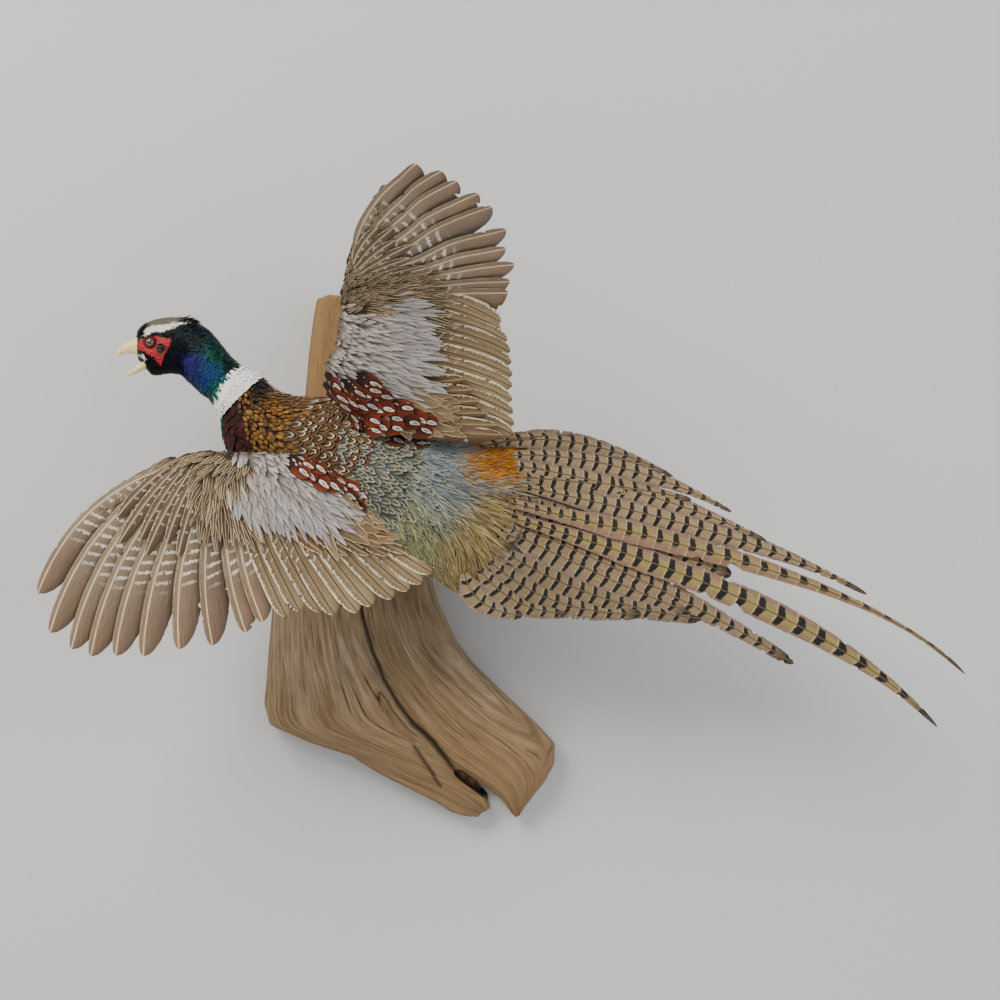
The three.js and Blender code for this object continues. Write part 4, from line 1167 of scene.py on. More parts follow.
def quills(name, sheet, curves, widths, tips, material, colours, tilt=7.0, bend=0.0,
           taper=(0.0, 0.4, 1.0), layer=0.0, fray=0.05, splits=4, cup=0.05, bar=(WING_BAR, 0.0),
           rings=QUILL_RINGS, seed=0, flip=False):
    """Flight or tail feathers along plane curves of a sheet(s, t, c), as one piece of like feathers.

    Widths are (leading vane, trailing vane) pairs; tips say where along the feather each vane rounds off."""
    draw = np.random.default_rng(seed)
    form, faces = vane_form(1 - (1 - np.linspace(0, 1, rings)) ** 1.15, QUILL_SECTION)
    along = np.unique(form[:, 1])
    u, leading = form[:, 1], form[:, 0] > 0
    ring_number = np.searchsorted(along, u - 1e-9)
    points, sizes, bars = [], [], []
    for number, (curve, (lead_width, trail_width)) in enumerate(zip(curves, widths)):
        here, ahead, behind = curve(u), curve(np.minimum(u + 0.004, 1)), curve(np.maximum(u - 0.004, 0))
        heading = unit(ahead - behind)
        lead = np.stack([heading[:, 1], -heading[:, 0]], -1)
        start = np.where(leading, tips[0], tips[1])
        rounded = np.sqrt(np.clip(1 - (np.clip(u - start, 0, 1) / (1 - start)) ** 2, 0.002, 1))
        swell = 0.35 + 0.65 * smooth_step(u, 0, 0.3)
        half = np.where(leading, lead_width, trail_width) * swell * rounded
        half *= 1 - taper[0] * smooth_step(u, *taper[1:])
        edge = np.ones((2, len(along)))
        edge -= fray * draw.uniform(0, 1, edge.shape)
        for vane, ring in zip(draw.integers(0, 2, splits),
                              draw.integers(len(along) // 3, len(along) - 3, splits)):
            edge[vane, ring] -= draw.uniform(0.12, 0.4)
        across = form[:, 0] * np.where(np.abs(form[:, 0]) > 0.95, edge[leading.astype(int), ring_number], 1)
        path = np.concatenate([[0], np.cumsum(np.linalg.norm(np.diff(curve(along), axis=0), axis=1))])
        run = path[ring_number]
        aside = across * half
        flat = here + lead * aside[:, None]
        body = 1 - 0.6 * u
        lie = layer + math.tan(math.radians(tilt)) * aside - cup * half * across ** 2 * 4
        lie = lie + form[:, 2] * 0.42 * body + bend * u ** 2 + draw.normal(0, 0.25) * u
        lie = lie + 0.35 * np.sin(run * 0.12 + number * 2.1) * u
        points.append(sheet(flat[:, 0], flat[:, 1], lie))
        sizes.append(np.stack([aside, run], -1))
        spacing, growth = bar
        phase = run / spacing if not growth else np.log1p(growth * run / spacing) / growth
        bars.append(np.stack([across, phase + draw.uniform(0, 1)], -1))
    count = len(curves)
    # for the skin below them: the feathers' colours darkened to 0.8, as painted shade
    coat_roots.append(np.concatenate(points)[::5])
    coat_colours.append(np.repeat(colours * 0.8, len(u), 0)[::5])
    patches = np.stack([(np.arange(count) + 0.5) / count, np.full(count, 0.5)], -1)
    return vane_piece(name, np.array(points), faces, form, np.array(sizes), colours, patches, material,
                      bars=np.array(bars), flip=np.full(count, flip), patch=(0.9 / count, 0.98))


def bowed(root, tip, bow):
    """A plane curve from root to tip that bows sideways by so many mm in the middle."""
    aside = unit(np.array([tip[1] - root[1], root[0] - tip[0]]))
    return lambda u: root + (tip - root) * u[:, None] + aside * (bow * 4 * u * (1 - u))[:, None]


def start_quill(name, gloss=0.52):
    """A flight or tail feather's material, with the readings of its maps that its layers use."""
    material, tree, shader = start_material(name, Roughness=gloss, Sheen_Weight=0.2, Sheen_Roughness=0.4)
    shader.inputs["Specular IOR Level"].default_value = 0.35
    along = add(tree, "SeparateXYZ", add(tree, "UVMap", uv_map="Vane"), out=1)
    across, phase, _ = add(tree, "SeparateXYZ", add(tree, "UVMap", uv_map="Bar")).node.outputs
    size_map = add(tree, "UVMap", uv_map="Size")
    off, run, _ = add(tree, "SeparateXYZ", size_map).node.outputs
    drawn = add(tree, "Mapping", size_map, Scale=(0.9, 0.05, 1))
    return dict(material=material, tree=tree, shader=shader, across=across, phase=phase, along=along,
                off=off, run=run, ground=add(tree, "Attribute", attribute_name="Ground"),
                level=add(tree, "Attribute", attribute_name="Tone", out="Fac"),
                rough=add(tree, "TexNoise", size_map, 0.35, 3.0),
                streak=add(tree, "TexNoise", drawn, 1.0, 3.0))


def finish_quill(parts, colour, shaft_line):
    """Adds the shaft line, the streaks and the barbs, the last layers of a flight feather's material."""
    tree = parts["tree"]
    beside = add(tree, "Math", parts["off"], operation="ABSOLUTE")
    line = add(tree, "MapRange", beside, 0.45, 0.8, 1.0, 0.0)
    lined = add(tree, "Mix", line, colour, shaft_line)
    grain = add(tree, "MapRange", parts["streak"], 0.25, 0.75, 0.66, 1.26)
    light = add(tree, "MapRange", parts["level"], To_Min=0.88, To_Max=1.1)
    add_barbs(tree, parts["shader"], lined, beside, parts["run"], slant=-0.9, pitch=0.9,
              loose=(parts["streak"], 7.0), comb=(0.86, 1.08), shades=[grain, light],
              relief=(0.45, 0.2 * MM))
    return parts["material"]


def wing_quill_material(name, edge, tip, shaft_line, bar_colour, bar_reach, bar_vane, bar_end, fringe,
                        inner_dark, bar_share=0.27, slant=-0.5):
    """Wing feather keratin: two flat vanes of zipped barbs on a hard shaft, pale bars across one vane."""
    parts = start_quill(name)
    tree = parts["tree"]
    far_out = add(tree, "MapRange", parts["along"], 0.6, 0.98, To_Max=0.8)
    tipped = add(tree, "Mix", far_out, parts["ground"], tip)
    # the inner vane darkens from the shaft to the part that the next feather covers
    inner = add(tree, "MapRange", parts["across"], -0.9, -0.05, 0.7, 0.0)
    dark = add(tree, "Mix", inner, tipped, inner_dark)
    # pale bars: a wave along the feather, slanting with the barbs, kept to one vane and to the root's end
    leaning = add(tree, "Math", parts["across"], slant, parts["phase"], operation="MULTIPLY_ADD")
    torn = add(tree, "Math", parts["rough"], 0.5, leaning, operation="MULTIPLY_ADD")
    # here and there a bar fails
    wide = add(tree, "TexNoise", add(tree, "UVMap", uv_map="Size"), 0.11, 1.0)
    there = add(tree, "MapRange", wide, 0.33, 0.38)
    cycle = add(tree, "Math", torn, operation="FRACT")
    on_bar = add(tree, "MapRange", cycle, bar_share, bar_share + 0.08, 1.0, 0.0)
    on_vane = add(tree, "MapRange", parts["across"], *bar_vane)
    on_root = add(tree, "MapRange", parts["along"], bar_reach, bar_reach + 0.08, 1.0, 0.0)
    # each bar ends raggedly, some way out across its vane
    outer = add(tree, "Math", parts["across"], operation="ABSOLUTE")
    ragged = add(tree, "Math", parts["rough"], 0.9, outer, operation="MULTIPLY_ADD")
    in_end = add(tree, "MapRange", ragged, bar_end + 0.4, bar_end + 0.55, 1.0, 0.0)
    placed = add(tree, "Math", on_bar, on_vane, operation="MULTIPLY")
    ended = add(tree, "Math", placed, in_end, operation="MULTIPLY")
    rooted = add(tree, "Math", ended, on_root, operation="MULTIPLY")
    kept = add(tree, "Math", rooted, there, operation="MULTIPLY")
    barred = add(tree, "Mix", kept, dark, bar_colour)
    # a wavy pale rim down the leading edge, with a dusky band inside it
    wave = add(tree, "Math", parts["rough"], 1.0, parts["across"], operation="MULTIPLY_ADD")
    dusk = add(tree, "MapRange", wave, 0.65, 1.12, To_Max=0.6 * fringe)
    dusky = add(tree, "Mix", dusk, barred, inner_dark)
    rim = add(tree, "MapRange", wave, 1.22, 1.29, To_Max=fringe)
    rimmed = add(tree, "Mix", rim, dusky, edge)
    return finish_quill(parts, rimmed, shaft_line)


primary_quill = wing_quill_material(
    "taupe_primary_quill", edge="#b39c7a", tip="#97765a", shaft_line="#e3cfa8", bar_colour="#efe4d2",
    bar_reach=0.6, bar_vane=(-0.03, -0.1), bar_end=0.5, fringe=0.6, inner_dark="#4e3f31", bar_share=0.26,
    slant=-1.1)
secondary_quill = wing_quill_material(
    "tan_secondary_quill", edge="#e6d6b4", tip="#b09970", shaft_line="#503c26", bar_colour="#e9dfc9",
    bar_reach=0.55, bar_vane=(0.05, 0.2), bar_end=0.6, fringe=0.95, inner_dark="#4a3a27", bar_share=0.12)
grey_covert = plume_material(
    "lavender_wing_covert", focus=0.3, spread=(1.0, 0.4), shaft="#d9d2cb", tone=(0.76, 1.12), root="#6d655e",
    root_end=0.4, rings=[(0.0, "#a8a09b", 0.2), (0.28, "#a8a09b", 0.0), (0.38, "#cfc7c0", 0.7),
                         (0.45, "#776c64", 0.8), (0.5, "#6b6059", 0.9)])
brown_covert = plume_material(
    "streaked_hand_covert", focus=0.5, spread=(1.0, 0.3), shaft="#d0bb91", tone=(0.6, 1.15), root="#2e241a",
    root_end=0.4, rings=[(0.0, "#6f5b44", 0.2), (0.3, "#45352a", 0.5), (0.39, "#45352a", 0.7),
                         (0.42, "#d3bf98", 0.95), (0.5, "#d3bf98", 0.95)])
chestnut_covert = plume_material("chestnut_streaked_covert", focus=0.5, spread=(1.0, 0.5), shaft="#a5825a",
                                 tone=(0.7, 1.2), root="#3a2015", root_end=0.35,
                                 rings=[(0.0, "#54200f", 0.0), (0.3, "#54200f", 0.0),
                                        (0.38, "#9c8459", 0.7), (0.46, "#d2bd92", 0.95),
                                        (0.6, "#d2bd92", 0.95)])
covert_quill = wing_quill_material(
    "brown_primary_covert_quill", edge="#cdb994", tip="#6d563f", shaft_line="#cdb78c", bar_colour="#e2d5bf",
    bar_reach=0.7, bar_vane=(-0.03, -0.2), bar_end=0.3, fringe=0.85, inner_dark="#3f3226", bar_share=0.14)
tertial_quill = wing_quill_material("chestnut_centred_tertial_quill", edge="#d5c49d", tip="#8a7250",
                                    shaft_line="#b59a6c", bar_colour="#d9cba9", bar_reach=0.1,
                                    bar_vane=(0.1, 0.3), bar_end=0.2, fringe=0.95, inner_dark="#4d2010",
                                    bar_share=0.1)
under_covert = plume_material("pale_underwing_covert", gloss=0.65, tone=(0.85, 1.1), root="#8d8272",
                              shaft="#e9dfcb")

for title, wing in (("left", LEFT_WING), ("right", RIGHT_WING)):
    roots, tips = quill_roots(wing)
    primaries = len(wing["primaries"])
    mirrored = wing["mirrored"]

    def hand_sheet(s, t, c, wing=wing):
        return wing_sheet(wing, s, t, c + behind_arm(t) + over_hand(wing, s, t))

    def arm_sheet(s, t, c, wing=wing):
        return wing_sheet(wing, s, t, c + behind_arm(t))

    inwards = np.linspace(0, 1, primaries)
    hand = [bowed(roots[i], tips[i], wing["bow"] * (1 - 0.6 * inwards[i])) for i in range(primaries)]
    broad = 35 if mirrored else 27
    made = quills(f"primaries_{title}", hand_sheet, hand, [(4.5 + 1.5 * w, broad - 2 * w) for w in inwards],
                  (0.9, 0.72 if mirrored else 0.64), primary_quill,
                  blend(inwards, tint("#a08a70"), tint("#8f7a60")),
                  bend=-4.0, splits=2, seed=71 + mirrored, flip=mirrored)
    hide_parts(f"wing_{title}_primaries")
    short = [bowed(root, root + (tip - root) * (0.4 + 0.06 * (i % 2)), 3)
             for i, (root, tip) in enumerate(zip(roots[:primaries], tips))]
    quills(f"primary_coverts_{title}", hand_sheet, short, [(5.5, 12)] * primaries, (0.55, 0.4),
           covert_quill, blend(inwards, tint("#75604a"), tint("#67533f")), layer=2.6,
           bend=-1.5, splits=1, rings=26, seed=73 + mirrored, flip=mirrored)
    starts = [(-118 + 8 * k, 14) if mirrored else roots[-1 - k] + (5.0 * k, 4) for k in range(6)]
    reach, bow = (0.93, -2) if mirrored else (0.8, 5)
    inner = [bowed(np.array(starts[k]), starts[k] + (tips[-1 - k] - starts[k]) * (reach - 0.05 * k), bow)
             for k in range(6)]
    quills(f"tertials_{title}", arm_sheet, inner, [(9, 14) if mirrored else (7, 11)] * 6, (0.6, 0.55),
           tertial_quill, blend(np.arange(6) / 5, tint("#84704c"), tint("#6f4a2c")),
           layer=4.5, bend=-3.0, splits=1, rings=30, seed=77 + mirrored, flip=mirrored)
    arm = [bowed(roots[i], tips[i], 17 - 0.8 * (i - primaries) if mirrored else 5)
           for i in range(primaries, len(roots))]
    made = quills(f"secondaries_{title}", arm_sheet, arm, [(9, 21)] * len(arm), (0.84, 0.8),
                  secondary_quill, blend(np.linspace(0, 1, len(arm)), tint("#8a7352"),
                  tint("#957d58")), bend=-3.0, splits=2, seed=75 + mirrored, flip=mirrored)
    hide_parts(f"wing_{title}_secondaries")

    upper, lower = arm_surface(wing, True), arm_surface(wing, False)
    span = (wing["arm"][0][0] / 100, wing["arm"][-1][0] / 100)
    outward = -1 if mirrored else 1
    places = scatter((0.0, 0.84), (4.6 * MM, 4.4 * MM), 81 + mirrored, upper, span)
    share, s = places[:, 0], places[:, 1] * 100
    places = places[(share < np.interp(s, [0, 40, 75, 110], [0.84, 0.74, 0.5, 0.3])) & (s < 118)]
    share, s = places[:, 0], places[:, 1] * 100
    back = smooth_step(share, 0.0, 0.75)
    lot = lots(83, len(places))
    out_share = smooth_step(s, 25, 130)
    hand_share = smooth_step(s + 10 * np.sin(share * 9), -14, 14)
    chestnut = smooth_step(-s + 30 * (share - 0.5), 82, 108)
    kinds = np.where(lot < hand_share, 1, np.where(lot < chestnut, 2, 0))
    edge_way = unit(wing_sheet(wing, s + 2, np.interp(s + 2, *np.transpose(wing["arm"])[:2]), 0 * s)
                    - wing_sheet(wing, s, np.interp(s, *np.transpose(wing["arm"])[:2]), 0 * s))
    along_edge = 1.8 * (1 - smooth_step(share, 0, 0.35)) * hand_share
    flow = unit(quill_flow(wing, places) + edge_way * along_edge[:, None])
    length = (13 + 22 * back ** 1.2) * (1 - 0.3 * out_share) * (1 + 0.3 * hand_share) * MM
    width = (5.2 + 1.8 * back) * (1 - 0.15 * hand_share) * MM
    length *= np.choose(kinds, [1.0, 1.2, 1.35])
    width *= np.choose(kinds, [1.0, 1.3, 1.5])
    for kind, (name, material, first, second) in enumerate((
            ("grey_coverts", grey_covert, "#857c78", "#a8a09c"),
            ("hand_coverts", brown_covert, "#544333", "#6f5b44"),
            ("chestnut_coverts", chestnut_covert, "#7d6a4e", "#541f0e"))):
        pick = kinds == kind
        coat(f"{name}_{title}", places[pick], length[pick], width[pick],
             blend(lot[pick] ** (1, 1, 4)[kind], tint(first), tint(second)), material, "covert_plumage",
             upper, outward, flow[pick], profile=LANCE_TIP, base=-0.3 * MM, rise=2.8 * MM, cup=0.4 * MM,
             loose=0.16, seed=84 + kind)
    places = scatter((0.0, 0.84), (12 * MM, 12 * MM), 89 + mirrored, upper, (span[0], -0.4))
    share, s = places[:, 0], places[:, 1] * 100
    if mirrored:
        eyed = (s < -68) & (share < np.interp(s, [-122, -72], [0.85, 0.3]))
    else:
        eyed = (s < -46) & (s > -104) & (share < np.interp(s, [-104, -84, -46], [0.16, 0.32, 0.1]))
    places = places[eyed]
    coat(f"eyed_coverts_{title}", places, 28 * MM, 18 * MM, mixed(90, len(places), "#6d240d", "#4c180a"),
         scapular_feather, "covert_plumage", upper, outward, quill_flow(wing, places), base=1.4 * MM,
         rise=3.4 * MM, loose=0.12, seed=87)
    places = scatter((0.0, 0.72), (7 * MM, 7.5 * MM), 87 + mirrored, lower, span)
    back = smooth_step(places[:, 0], 0.0, 0.75)
    out_share = smooth_step(places[:, 1] * 100, 25, 130)
    coat(f"under_coverts_{title}", places, (13 + 18 * back) * (1 - 0.4 * out_share) * MM,
         (8 + 4 * back) * MM, blend(back, tint("#b3a184"), tint("#b9b0a2")), under_covert,
         "covert_plumage", lower, -outward, quill_flow(wing, places), base=0.2 * MM, rise=1.6 * MM,
         seed=88)


# ---- tail ----------------------------------------------------------------------------------------
# Long stiff feathers in two rows, wired at the root: buff to olive down the middle, mauve-brown loose
# fringes, and black bars all the way down. The two central ones reach half a metre.

TAIL_LONG_UPPER = [((150, 0), (289, -36), (517, -75), (612, -173), 23)]
TAIL_LONG_LOWER = [((150, -14), (328, -65), (497, -129), (585, -226), 25)]
TAIL_RIGHT_SIDE = [
    ((170, 14), (300, -13), (420, -40), (515, -94), 22), ((148, 36), (240, 26), (350, -8), (415, -41), 21),
    ((160, 44), (240, 48), (320, 22), (380, -12), 19), ((140, 54), (200, 70), (270, 52), (322, 23), 16),
    ((130, 52), (160, 61), (195, 65), (224, 64), 11), ((146, 24), (220, 20), (290, 13), (340, 0), 24),
]
TAIL_LEFT_SIDE = [((150, -18), (245, -58), (350, -103), (442, -163), 22),
                  ((148, 2), (240, -24), (330, -52), (380, -75), 28),
                  ((148, -26), (210, -56), (280, -90), (340, -112), 27),
                  ((150, -48), (210, -90), (290, -112), (350, -118), 24),
                  ((140, -60), (180, -98), (230, -114), (290, -113), 24),
                  ((130, -68), (150, -96), (180, -112), (215, -112), 22),
                  ((115, -72), (120, -95), (135, -110), (172, -114), 20)]
TAIL_LIFT = 0.02


def bezier(root, first, second, tip):
    """A plane cubic curve through four control points."""
    root, first, second, tip = (np.array(p, float) for p in (root, first, second, tip))

    def curve(u):
        u = u[:, None]
        return (root * (1 - u) ** 3 + 3 * first * u * (1 - u) ** 2
                + 3 * second * u ** 2 * (1 - u) + tip * u ** 3)

    return curve


def tail_material(name, fringe, bar_colour="#0b0806", bar_share=0.34, slant=0.12, reach=0.86, speckle=0.35,
                  lower_vane=1.0):
    """Tail feather keratin: buff down the shaft, loose mauve-brown edges, black bars across most of it."""
    parts = start_quill(name, gloss=0.6)
    tree = parts["tree"]
    aside = add(tree, "Math", parts["across"], operation="ABSOLUTE")
    wander = add(tree, "Math", parts["rough"], 0.3, aside, operation="MULTIPLY_ADD")
    edge = add(tree, "MapRange", wander, 0.5, 0.9, To_Max=0.95)
    edged = add(tree, "Mix", edge, parts["ground"], fringe)
    # fine dark flecks, drawn 1.5 mm across
    flecks = add(tree, "TexNoise", add(tree, "UVMap", uv_map="Size"), 0.75, 2.0)
    dotted = add(tree, "MapRange", flecks, 0.5, 0.58, To_Max=speckle)
    speckled = add(tree, "Mix", dotted, edged, "#4a3828")
    lean = add(tree, "Math", aside, slant, parts["phase"], operation="MULTIPLY_ADD")
    torn = add(tree, "Math", parts["rough"], 0.22, lean, operation="MULTIPLY_ADD")
    cycle = add(tree, "Math", torn, operation="FRACT")
    # the bars are rounded off towards the edges, with a thin pale line after each
    narrow = add(tree, "Math", aside, 0.16, cycle, operation="MULTIPLY_ADD")
    on_bar = add(tree, "MapRange", narrow, bar_share, bar_share + 0.06, 1.0, 0.0)
    start = add(tree, "MapRange", cycle, From_Max=0.05)
    within = add(tree, "MapRange", wander, reach, reach + 0.12, 1.0, 0.0)
    first = add(tree, "Math", on_bar, within, operation="MULTIPLY")
    second = add(tree, "Math", first, start, operation="MULTIPLY")
    below = add(tree, "MapRange", parts["across"], 0.2, 0.45, 1.0, lower_vane)
    kept = add(tree, "Math", second, below, operation="MULTIPLY")
    mauve = add(tree, "MapRange", below, To_Min=0.8, To_Max=0.0)
    sided = add(tree, "Mix", mauve, speckled, fringe)
    barred = add(tree, "Mix", kept, sided, bar_colour)
    after = add(tree, "MapRange", cycle, 0.93, 0.97, To_Max=0.6)
    lined = add(tree, "Mix", after, barred, "#cdb98c")
    far_out = add(tree, "MapRange", parts["along"], 0.9, 0.97, To_Max=0.9)
    tipped = add(tree, "Mix", far_out, lined, "#1c1611")
    return finish_quill(parts, tipped, "#5c4a33")


upper_tail = tail_material("half_barred_central_tail_quill", fringe="#8a6a58", speckle=0.15, bar_share=0.4,
                           lower_vane=0.12)
lower_tail = tail_material("barred_central_tail_quill", fringe="#8a6a58", speckle=0.15, bar_share=0.42)
side_tail = tail_material("barred_side_tail_quill", fringe="#7f6b5b", bar_share=0.36, slant=0.2, reach=0.8)
mottled_covert = tail_material("mottled_tail_covert", fringe="#94856c", bar_share=0.0, speckle=0.4)

places = scatter((16.4, 17.7), (14 * MM, 10 * MM), 65)
round_back = off_spine(places)
start = np.interp(round_back, [-110, -30, 0, 60, 110], [16.6, 17.1, 17.2, 17.4, 16.6])
places = places[(np.abs(round_back) < 116) & (places[:, 0] > start)]
round_back = off_spine(places)
mottled = (lots(15, len(places)) < 0.4) & (round_back > 20)
for name, pick, material in (("tail_coverts", ~mottled, side_tail),
                             ("mottled_tail_coverts", mottled, mottled_covert)):
    coat(name, places[pick], 40 * MM, 17 * MM,
         mixed(10, pick.sum(), "#94805c", "#7d6e50"),
         material, "tail_feathers", profile=LANCE_TIP, bar=9.5, base=-0.8 * MM, rise=2.8 * MM, twist=0.08,
         loose=0.12, seed=66)

for node, feathers, layer, taper, material, bar, ground in (
        ("tail_long_upper", TAIL_LONG_UPPER, -170.5, (0.82, 0.3, 0.86), upper_tail, (10.5, 0.035),
         "#9a854f"),
        ("tail_long_lower", TAIL_LONG_LOWER, -168.6, (0.8, 0.5, 1.0), lower_tail, (11.5, 0.035), "#96854d"),
        ("tail_right_side", TAIL_RIGHT_SIDE, -166.6, (0.8, 0.35, 0.96), side_tail, (12, 0.015), "#9c865f"),
        ("tail_left_side", TAIL_LEFT_SIDE, -164.6, (0.6, 0.35, 1.0), side_tail, (12, 0.015), "#8d7955")):

    def stand(x, z, c, layer=layer):
        over_root = 13 * np.exp(-(np.maximum(x - 140, 0) / 55) ** 2)
        over_root -= 15 * smooth_step(-x, -174, -148) * (1 - smooth_step(np.abs(z), 48, 60))
        return np.stack([x, layer - c + TAIL_LIFT * (x - BODY_LINE[-1][0]) - over_root, z], -1) * MM

    count = len(feathers)
    widen = 0.52 if "long" in node else 0.68
    made = quills(node + "_quills", stand, [bezier(*row[:4]) for row in feathers],
                  [(row[4] * widen,) * 2 for row in feathers], (0.92, 0.92), material,
                  np.broadcast_to(tint(ground), (count, 3)), tilt=3.0, taper=taper,
                  fray=0.09, splits=9, cup=0.035, bar=bar, rings=100, seed=91 + count, flip=False)
    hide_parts(node)


# ---- legs ----------------------------------------------------------------------------------------
# The legs are wired straight back under the tail. Feathered thighs end at the heel; below it the shank and
# toes are bare, in overlapping horny scales, with dark claws and a cock's spur.

THIGH_LINE = [(8, 12, 6, -12, -100, 12), (34, 13, 27, -20, -96, 14), (62, 0, 55, -23, -92, 10),
              (85, -14, 83, -25, -91, 5.5)]
LEG_SPREAD = 50                     # from one leg to the other; the ankle's place is midway
ANKLE_AT = (84, -91, -19.5)
TARSUS_LENGTH = 66
TARSUS_RADIUS = 3.4
TOE_LENGTHS = (36, 46, 38)
SCUTE = 3.2                         # from one broad scale to the next, in mm


def limb_tube(bm, path, radii, scutes=0.0, sides=14, rings=40):
    """Adds a round limb along a path of corners, in mm, ringed by overlapping scales."""
    path, radii = np.array(path, float), np.array(radii, float)
    run = np.concatenate([[0], np.cumsum(np.linalg.norm(np.diff(path, axis=0), axis=1))])
    before = len(bm.verts)
    grid = bmesh.new()
    bmesh.ops.create_grid(grid, x_segments=sides, y_segments=rings, size=0.5)
    for vert in grid.verts:
        station = (vert.co.y + 0.5) * (len(path) - 1)
        centre = smooth_columns(path, station)
        ahead = unit(smooth_columns(path, station + 0.02) - smooth_columns(path, station - 0.02))
        side_way = unit(np.cross(ahead, (0.0, 0.3, 1.0)))
        up_way = np.cross(side_way, ahead)
        radius = float(smooth_columns(radii[:, None], station)[0])
        here = float(np.interp(station, np.arange(len(run)), run))
        radius += scutes * (0.5 - (here / SCUTE) % 1)
        turn = (vert.co.x + 0.5) * 2 * math.pi
        vert.co = Vector(centre + (side_way * math.cos(turn) + up_way * math.sin(turn)) * radius) * MM
    bmesh.ops.remove_doubles(grid, verts=grid.verts, dist=0.00002)
    bmesh.ops.holes_fill(grid, edges=[edge for edge in grid.edges if edge.is_boundary], sides=0)
    bmesh.ops.recalc_face_normals(grid, faces=grid.faces)
    scratch = bpy.data.meshes.new("scratch")
    grid.to_mesh(scratch)
    grid.free()
    bm.from_mesh(scratch)
    bpy.data.meshes.remove(scratch)
    return bm.verts[before:] if before else list(bm.verts)


def scale_material(name, light, dark, gloss):
    """Horny leg scale or claw: smooth keratin, grey-brown, darker in the joints between the scales."""
    material, tree, shader = start_material(name, Roughness=gloss)
    where = add(tree, "TexCoord", out="Object")
    cells = add(tree, "TexVoronoi", where, 1 / (1.6 * MM))
    tone = add(tree, "ValToRGB", cells, ramp=[(0.1, light), (0.75, dark)])
    tree.links.new(tone, shader.inputs["Base Color"])
    bump = add(tree, "Bump", Height=cells, Strength=0.5, Distance=-0.4 * MM)
    tree.links.new(bump, shader.inputs["Normal"])
    return material


leg_scale = scale_material("horny_leg_scale", "#968c7e", "#5a5047", 0.45)
claw_horn = scale_material("dark_claw_horn", "#3a312a", "#1d1713", 0.3)
thigh_feather = plume_material("brown_thigh_feather", gloss=0.7, tone=(0.7, 1.25), root="#1a120d")
for title, side in (("left", -1), ("right", 1)):
    shift = side * LEG_SPREAD / 2
    table = [(ux, uz + shift, lx, lz + shift, y, deep) for ux, uz, lx, lz, y, deep in THIGH_LINE]
    thigh = form_surface(table)
    places = scatter((0.0, 2.9), (4.5 * MM, 4 * MM), 95, thigh)
    thin = smooth_step(places[:, 0], 1.0, 2.9)
    coat(f"thigh_feathers_{title}", places, (15 - 6 * thin) * MM, (6 - 2.5 * thin) * MM, tint("#33221a"),
         thigh_feather, "thigh_plumage", thigh, base=-0.5 * MM, rise=1.8 * MM, seed=96)
    ankle = np.array(ANKLE_AT) + (0, 0, shift)
    pad = ankle + (TARSUS_LENGTH * 0.97, 3, -TARSUS_LENGTH * 0.24)
    foot, claws = bmesh.new(), bmesh.new()
    limb_tube(foot, [ankle - (3, 0, -1), ankle + (pad - ankle) * 0.3, ankle + (pad - ankle) * 0.7, pad],
              [TARSUS_RADIUS * 1.3, TARSUS_RADIUS * 0.92, TARSUS_RADIUS * 0.9, TARSUS_RADIUS * 1.3],
              scutes=0.5, sides=20, rings=90)
    for i, length in enumerate(TOE_LENGTHS):
        spread = (i - 1) * 0.25
        knuckle = pad + (length * 0.55, 2, length * (spread - 0.16))
        claw = np.array([knuckle[0] + length * 0.35, pad[1] + length * 0.32,
                         knuckle[2] + length * (spread - 0.1)])
        bend = knuckle + (claw - knuckle) * 0.55
        limb_tube(foot, [pad, (pad + knuckle) / 2 - (0, 1, 0), knuckle, bend], [2.9, 2.5, 2.5, 1.8],
                  scutes=0.4, rings=44)
        limb_tube(claws, [bend - (claw - bend) * 0.15, (bend + claw) / 2 - (0, 1.2, 0), claw],
                  [1.6, 1.2, 0.35], sides=10, rings=14)
    hind = pad + (6, 16, 2)
    limb_tube(foot, [pad, pad + (hind - pad) * 0.6], [2.5, 1.6], scutes=0.3, rings=20)
    limb_tube(claws, [pad + (hind - pad) * 0.52, hind - (1, 3, 0), hind], [1.4, 1.0, 0.35], sides=10,
              rings=12)
    spur = ankle + (pad - ankle) * 0.6
    limb_tube(claws, [spur, spur + (2, 6, side * 2), spur + (4, 10, side * 3)], [2.3, 1.6, 0.4], sides=12,
              rings=14)
    made = make_piece(f"scaled_foot_{title}", foot, leg_scale)
    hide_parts(f"leg_{title}_foot")
    make_piece(f"claws_and_spur_{title}", claws, claw_horn)


# ---- the skin takes the coat's colours -----------------------------------------------------------
# Where a feather is missing or parted the skin below is tinted like it and darkened as painted shade in the
# gap, and the bare face is painted red.

def nearest_colours(points, roots, colours):
    """For each point the colour of the nearest feather."""
    tree = KDTree(len(roots))
    for number, root in enumerate(roots):
        tree.insert(root, number)
    tree.balance()
    return colours[[tree.find(point)[1] for point in points]]


# painted shade: the skin takes the nearest feather's colour at 0.55 of it, for the shade in the gaps between
# feathers
ground = nearest_colours(skin_points, np.concatenate(coat_roots), np.concatenate(coat_colours)) * 0.55
red = tint("#a80d16") * (1 + 0.42 * np.clip(papillae, -1, 1))[:, None]
in_lid = 1 - smooth_step(from_eye, 5.6 * MM, 6.6 * MM)
red *= (1 - 0.75 * in_lid * near_eye)[:, None]
behind_eye = ellipse(skin_points[:, 0] / MM, skin_points[:, 2] / MM, *EYE_BACK)
red *= smooth_step(behind_eye, 0.85, 1.15)[:, None]
ground += skin_bare[:, None] * (red - ground)
colour_layer = skin.verts.layers.float_color.new("Ground")
for vert, colour in zip(skin.verts, ground):
    vert[colour_layer] = (*colour, 1.0)
bird_skin = make_piece("bird_skin", skin, skin_material())
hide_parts(*FLESH)


# ---- floor, backdrop, lights and camera ----------------------------------------------------------
# A plain pale studio: soft light from above and the left, and a plain pale wall behind the mount.

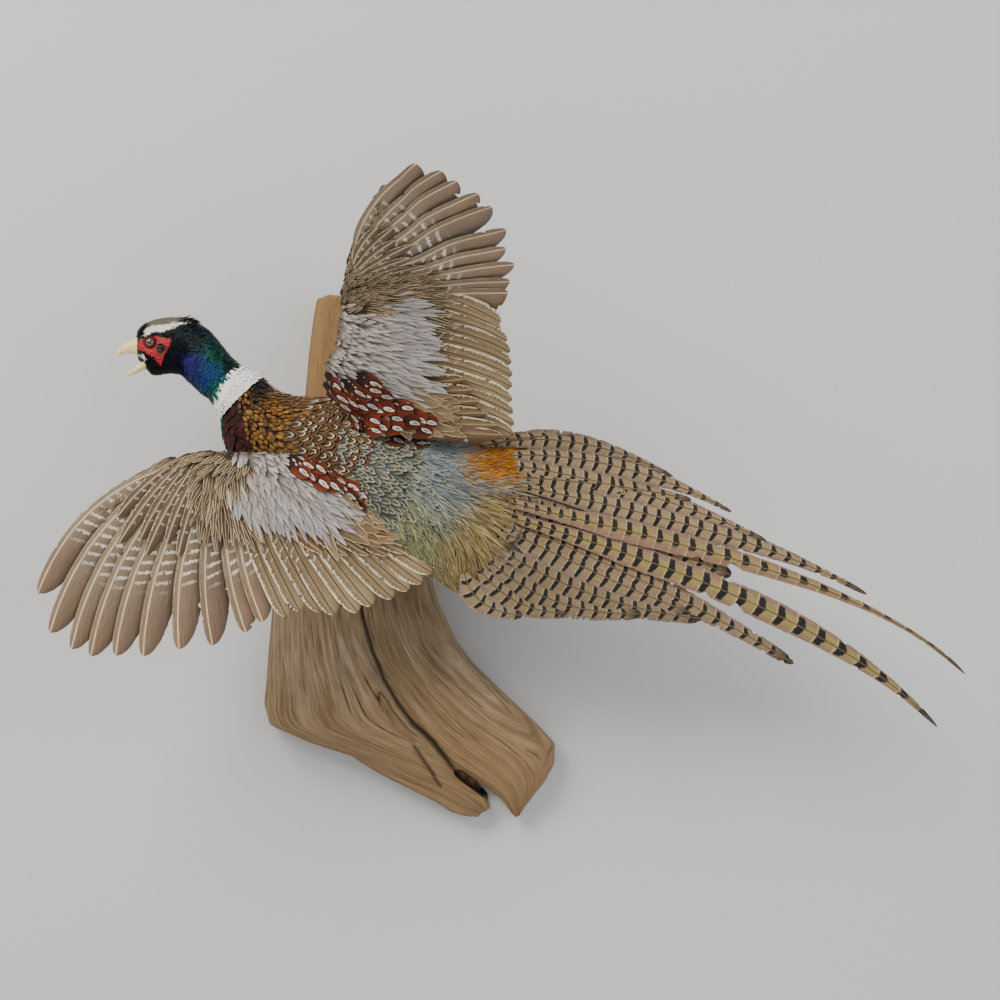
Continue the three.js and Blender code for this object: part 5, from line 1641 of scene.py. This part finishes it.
def studio_material(name, colour, one_sided):
    """Flat studio paint; the one-sided kind is seen only from the front."""
    material, tree, shader = start_material(name, Roughness=0.9)
    shader.inputs["Base Color"].default_value = linear(colour)
    if one_sided:
        # from behind, the wall gives way so that the mount's back can be looked at, and it lets light by
        behind = add(tree, "NewGeometry", out="Backfacing")
        passing = add(tree, "LightPath", out="Is Shadow Ray")
        open_wall = add(tree, "Math", behind, passing, operation="MAXIMUM")
        clear = add(tree, "BsdfTransparent")
        mixed = add(tree, "MixShader", open_wall, shader.outputs[0], clear)
        tree.links.new(mixed, tree.nodes["Material Output"].inputs["Surface"])
    return material


for name, size, place, turn, colour in (
        ("studio_wall", 6.0, (0, 0.003, 0), math.pi / 2, "#c9cacb"),
        ("studio_floor", 8.0, (0, -1.0, -1.5), 0.0, "#dededc")):
    plane = bmesh.new()
    bmesh.ops.create_grid(plane, x_segments=1, y_segments=1, size=size / 2,
                          matrix=Matrix.Translation(place) @ Matrix.Rotation(turn, 4, "X"))
    mesh = bpy.data.meshes.new(name)
    plane.to_mesh(mesh)
    plane.free()
    mesh.materials.append(studio_material(name + "_paint", colour, name == "studio_wall"))
    board = bpy.data.objects.new(name, mesh)
    bpy.context.collection.objects.link(board)

for name, size, place, power, colour in (
        ("soft_key", 2.0, (-1.6, -2.6, 2.4), 178, "#fff8ee"),
        ("soft_fill", 2.8, (2.4, -2.8, 0.6), 47, "#eef3ff"),
        ("soft_back", 2.0, (0.5, 2.2, 1.6), 40, "#ffffff")):
    lamp = bpy.data.lights.new(name, "AREA")
    lamp.size = size
    lamp.energy = power
    lamp.color = linear(colour)[:3]
    light = bpy.data.objects.new(name, lamp)
    light.location = place
    light.rotation_euler = (Vector((0, -0.15, 0)) - Vector(place)).to_track_quat("-Z", "Y").to_euler()
    bpy.context.collection.objects.link(light)

world = bpy.data.worlds.new("studio_air")
world.use_nodes = True
world.node_tree.nodes["Background"].inputs["Color"].default_value = linear("#f2f4f6")
world.node_tree.nodes["Background"].inputs["Strength"].default_value = 0.5
bpy.context.scene.world = world

lens = bpy.data.cameras.new("room_camera")
lens.lens = 72
lens.sensor_width = 36
camera = bpy.data.objects.new("room_camera", lens)
camera.location = (0.150, -2.150, 0.0)
camera.rotation_euler = (math.pi / 2, 0, 0)
bpy.context.collection.objects.link(camera)
bpy.context.scene.camera = camera
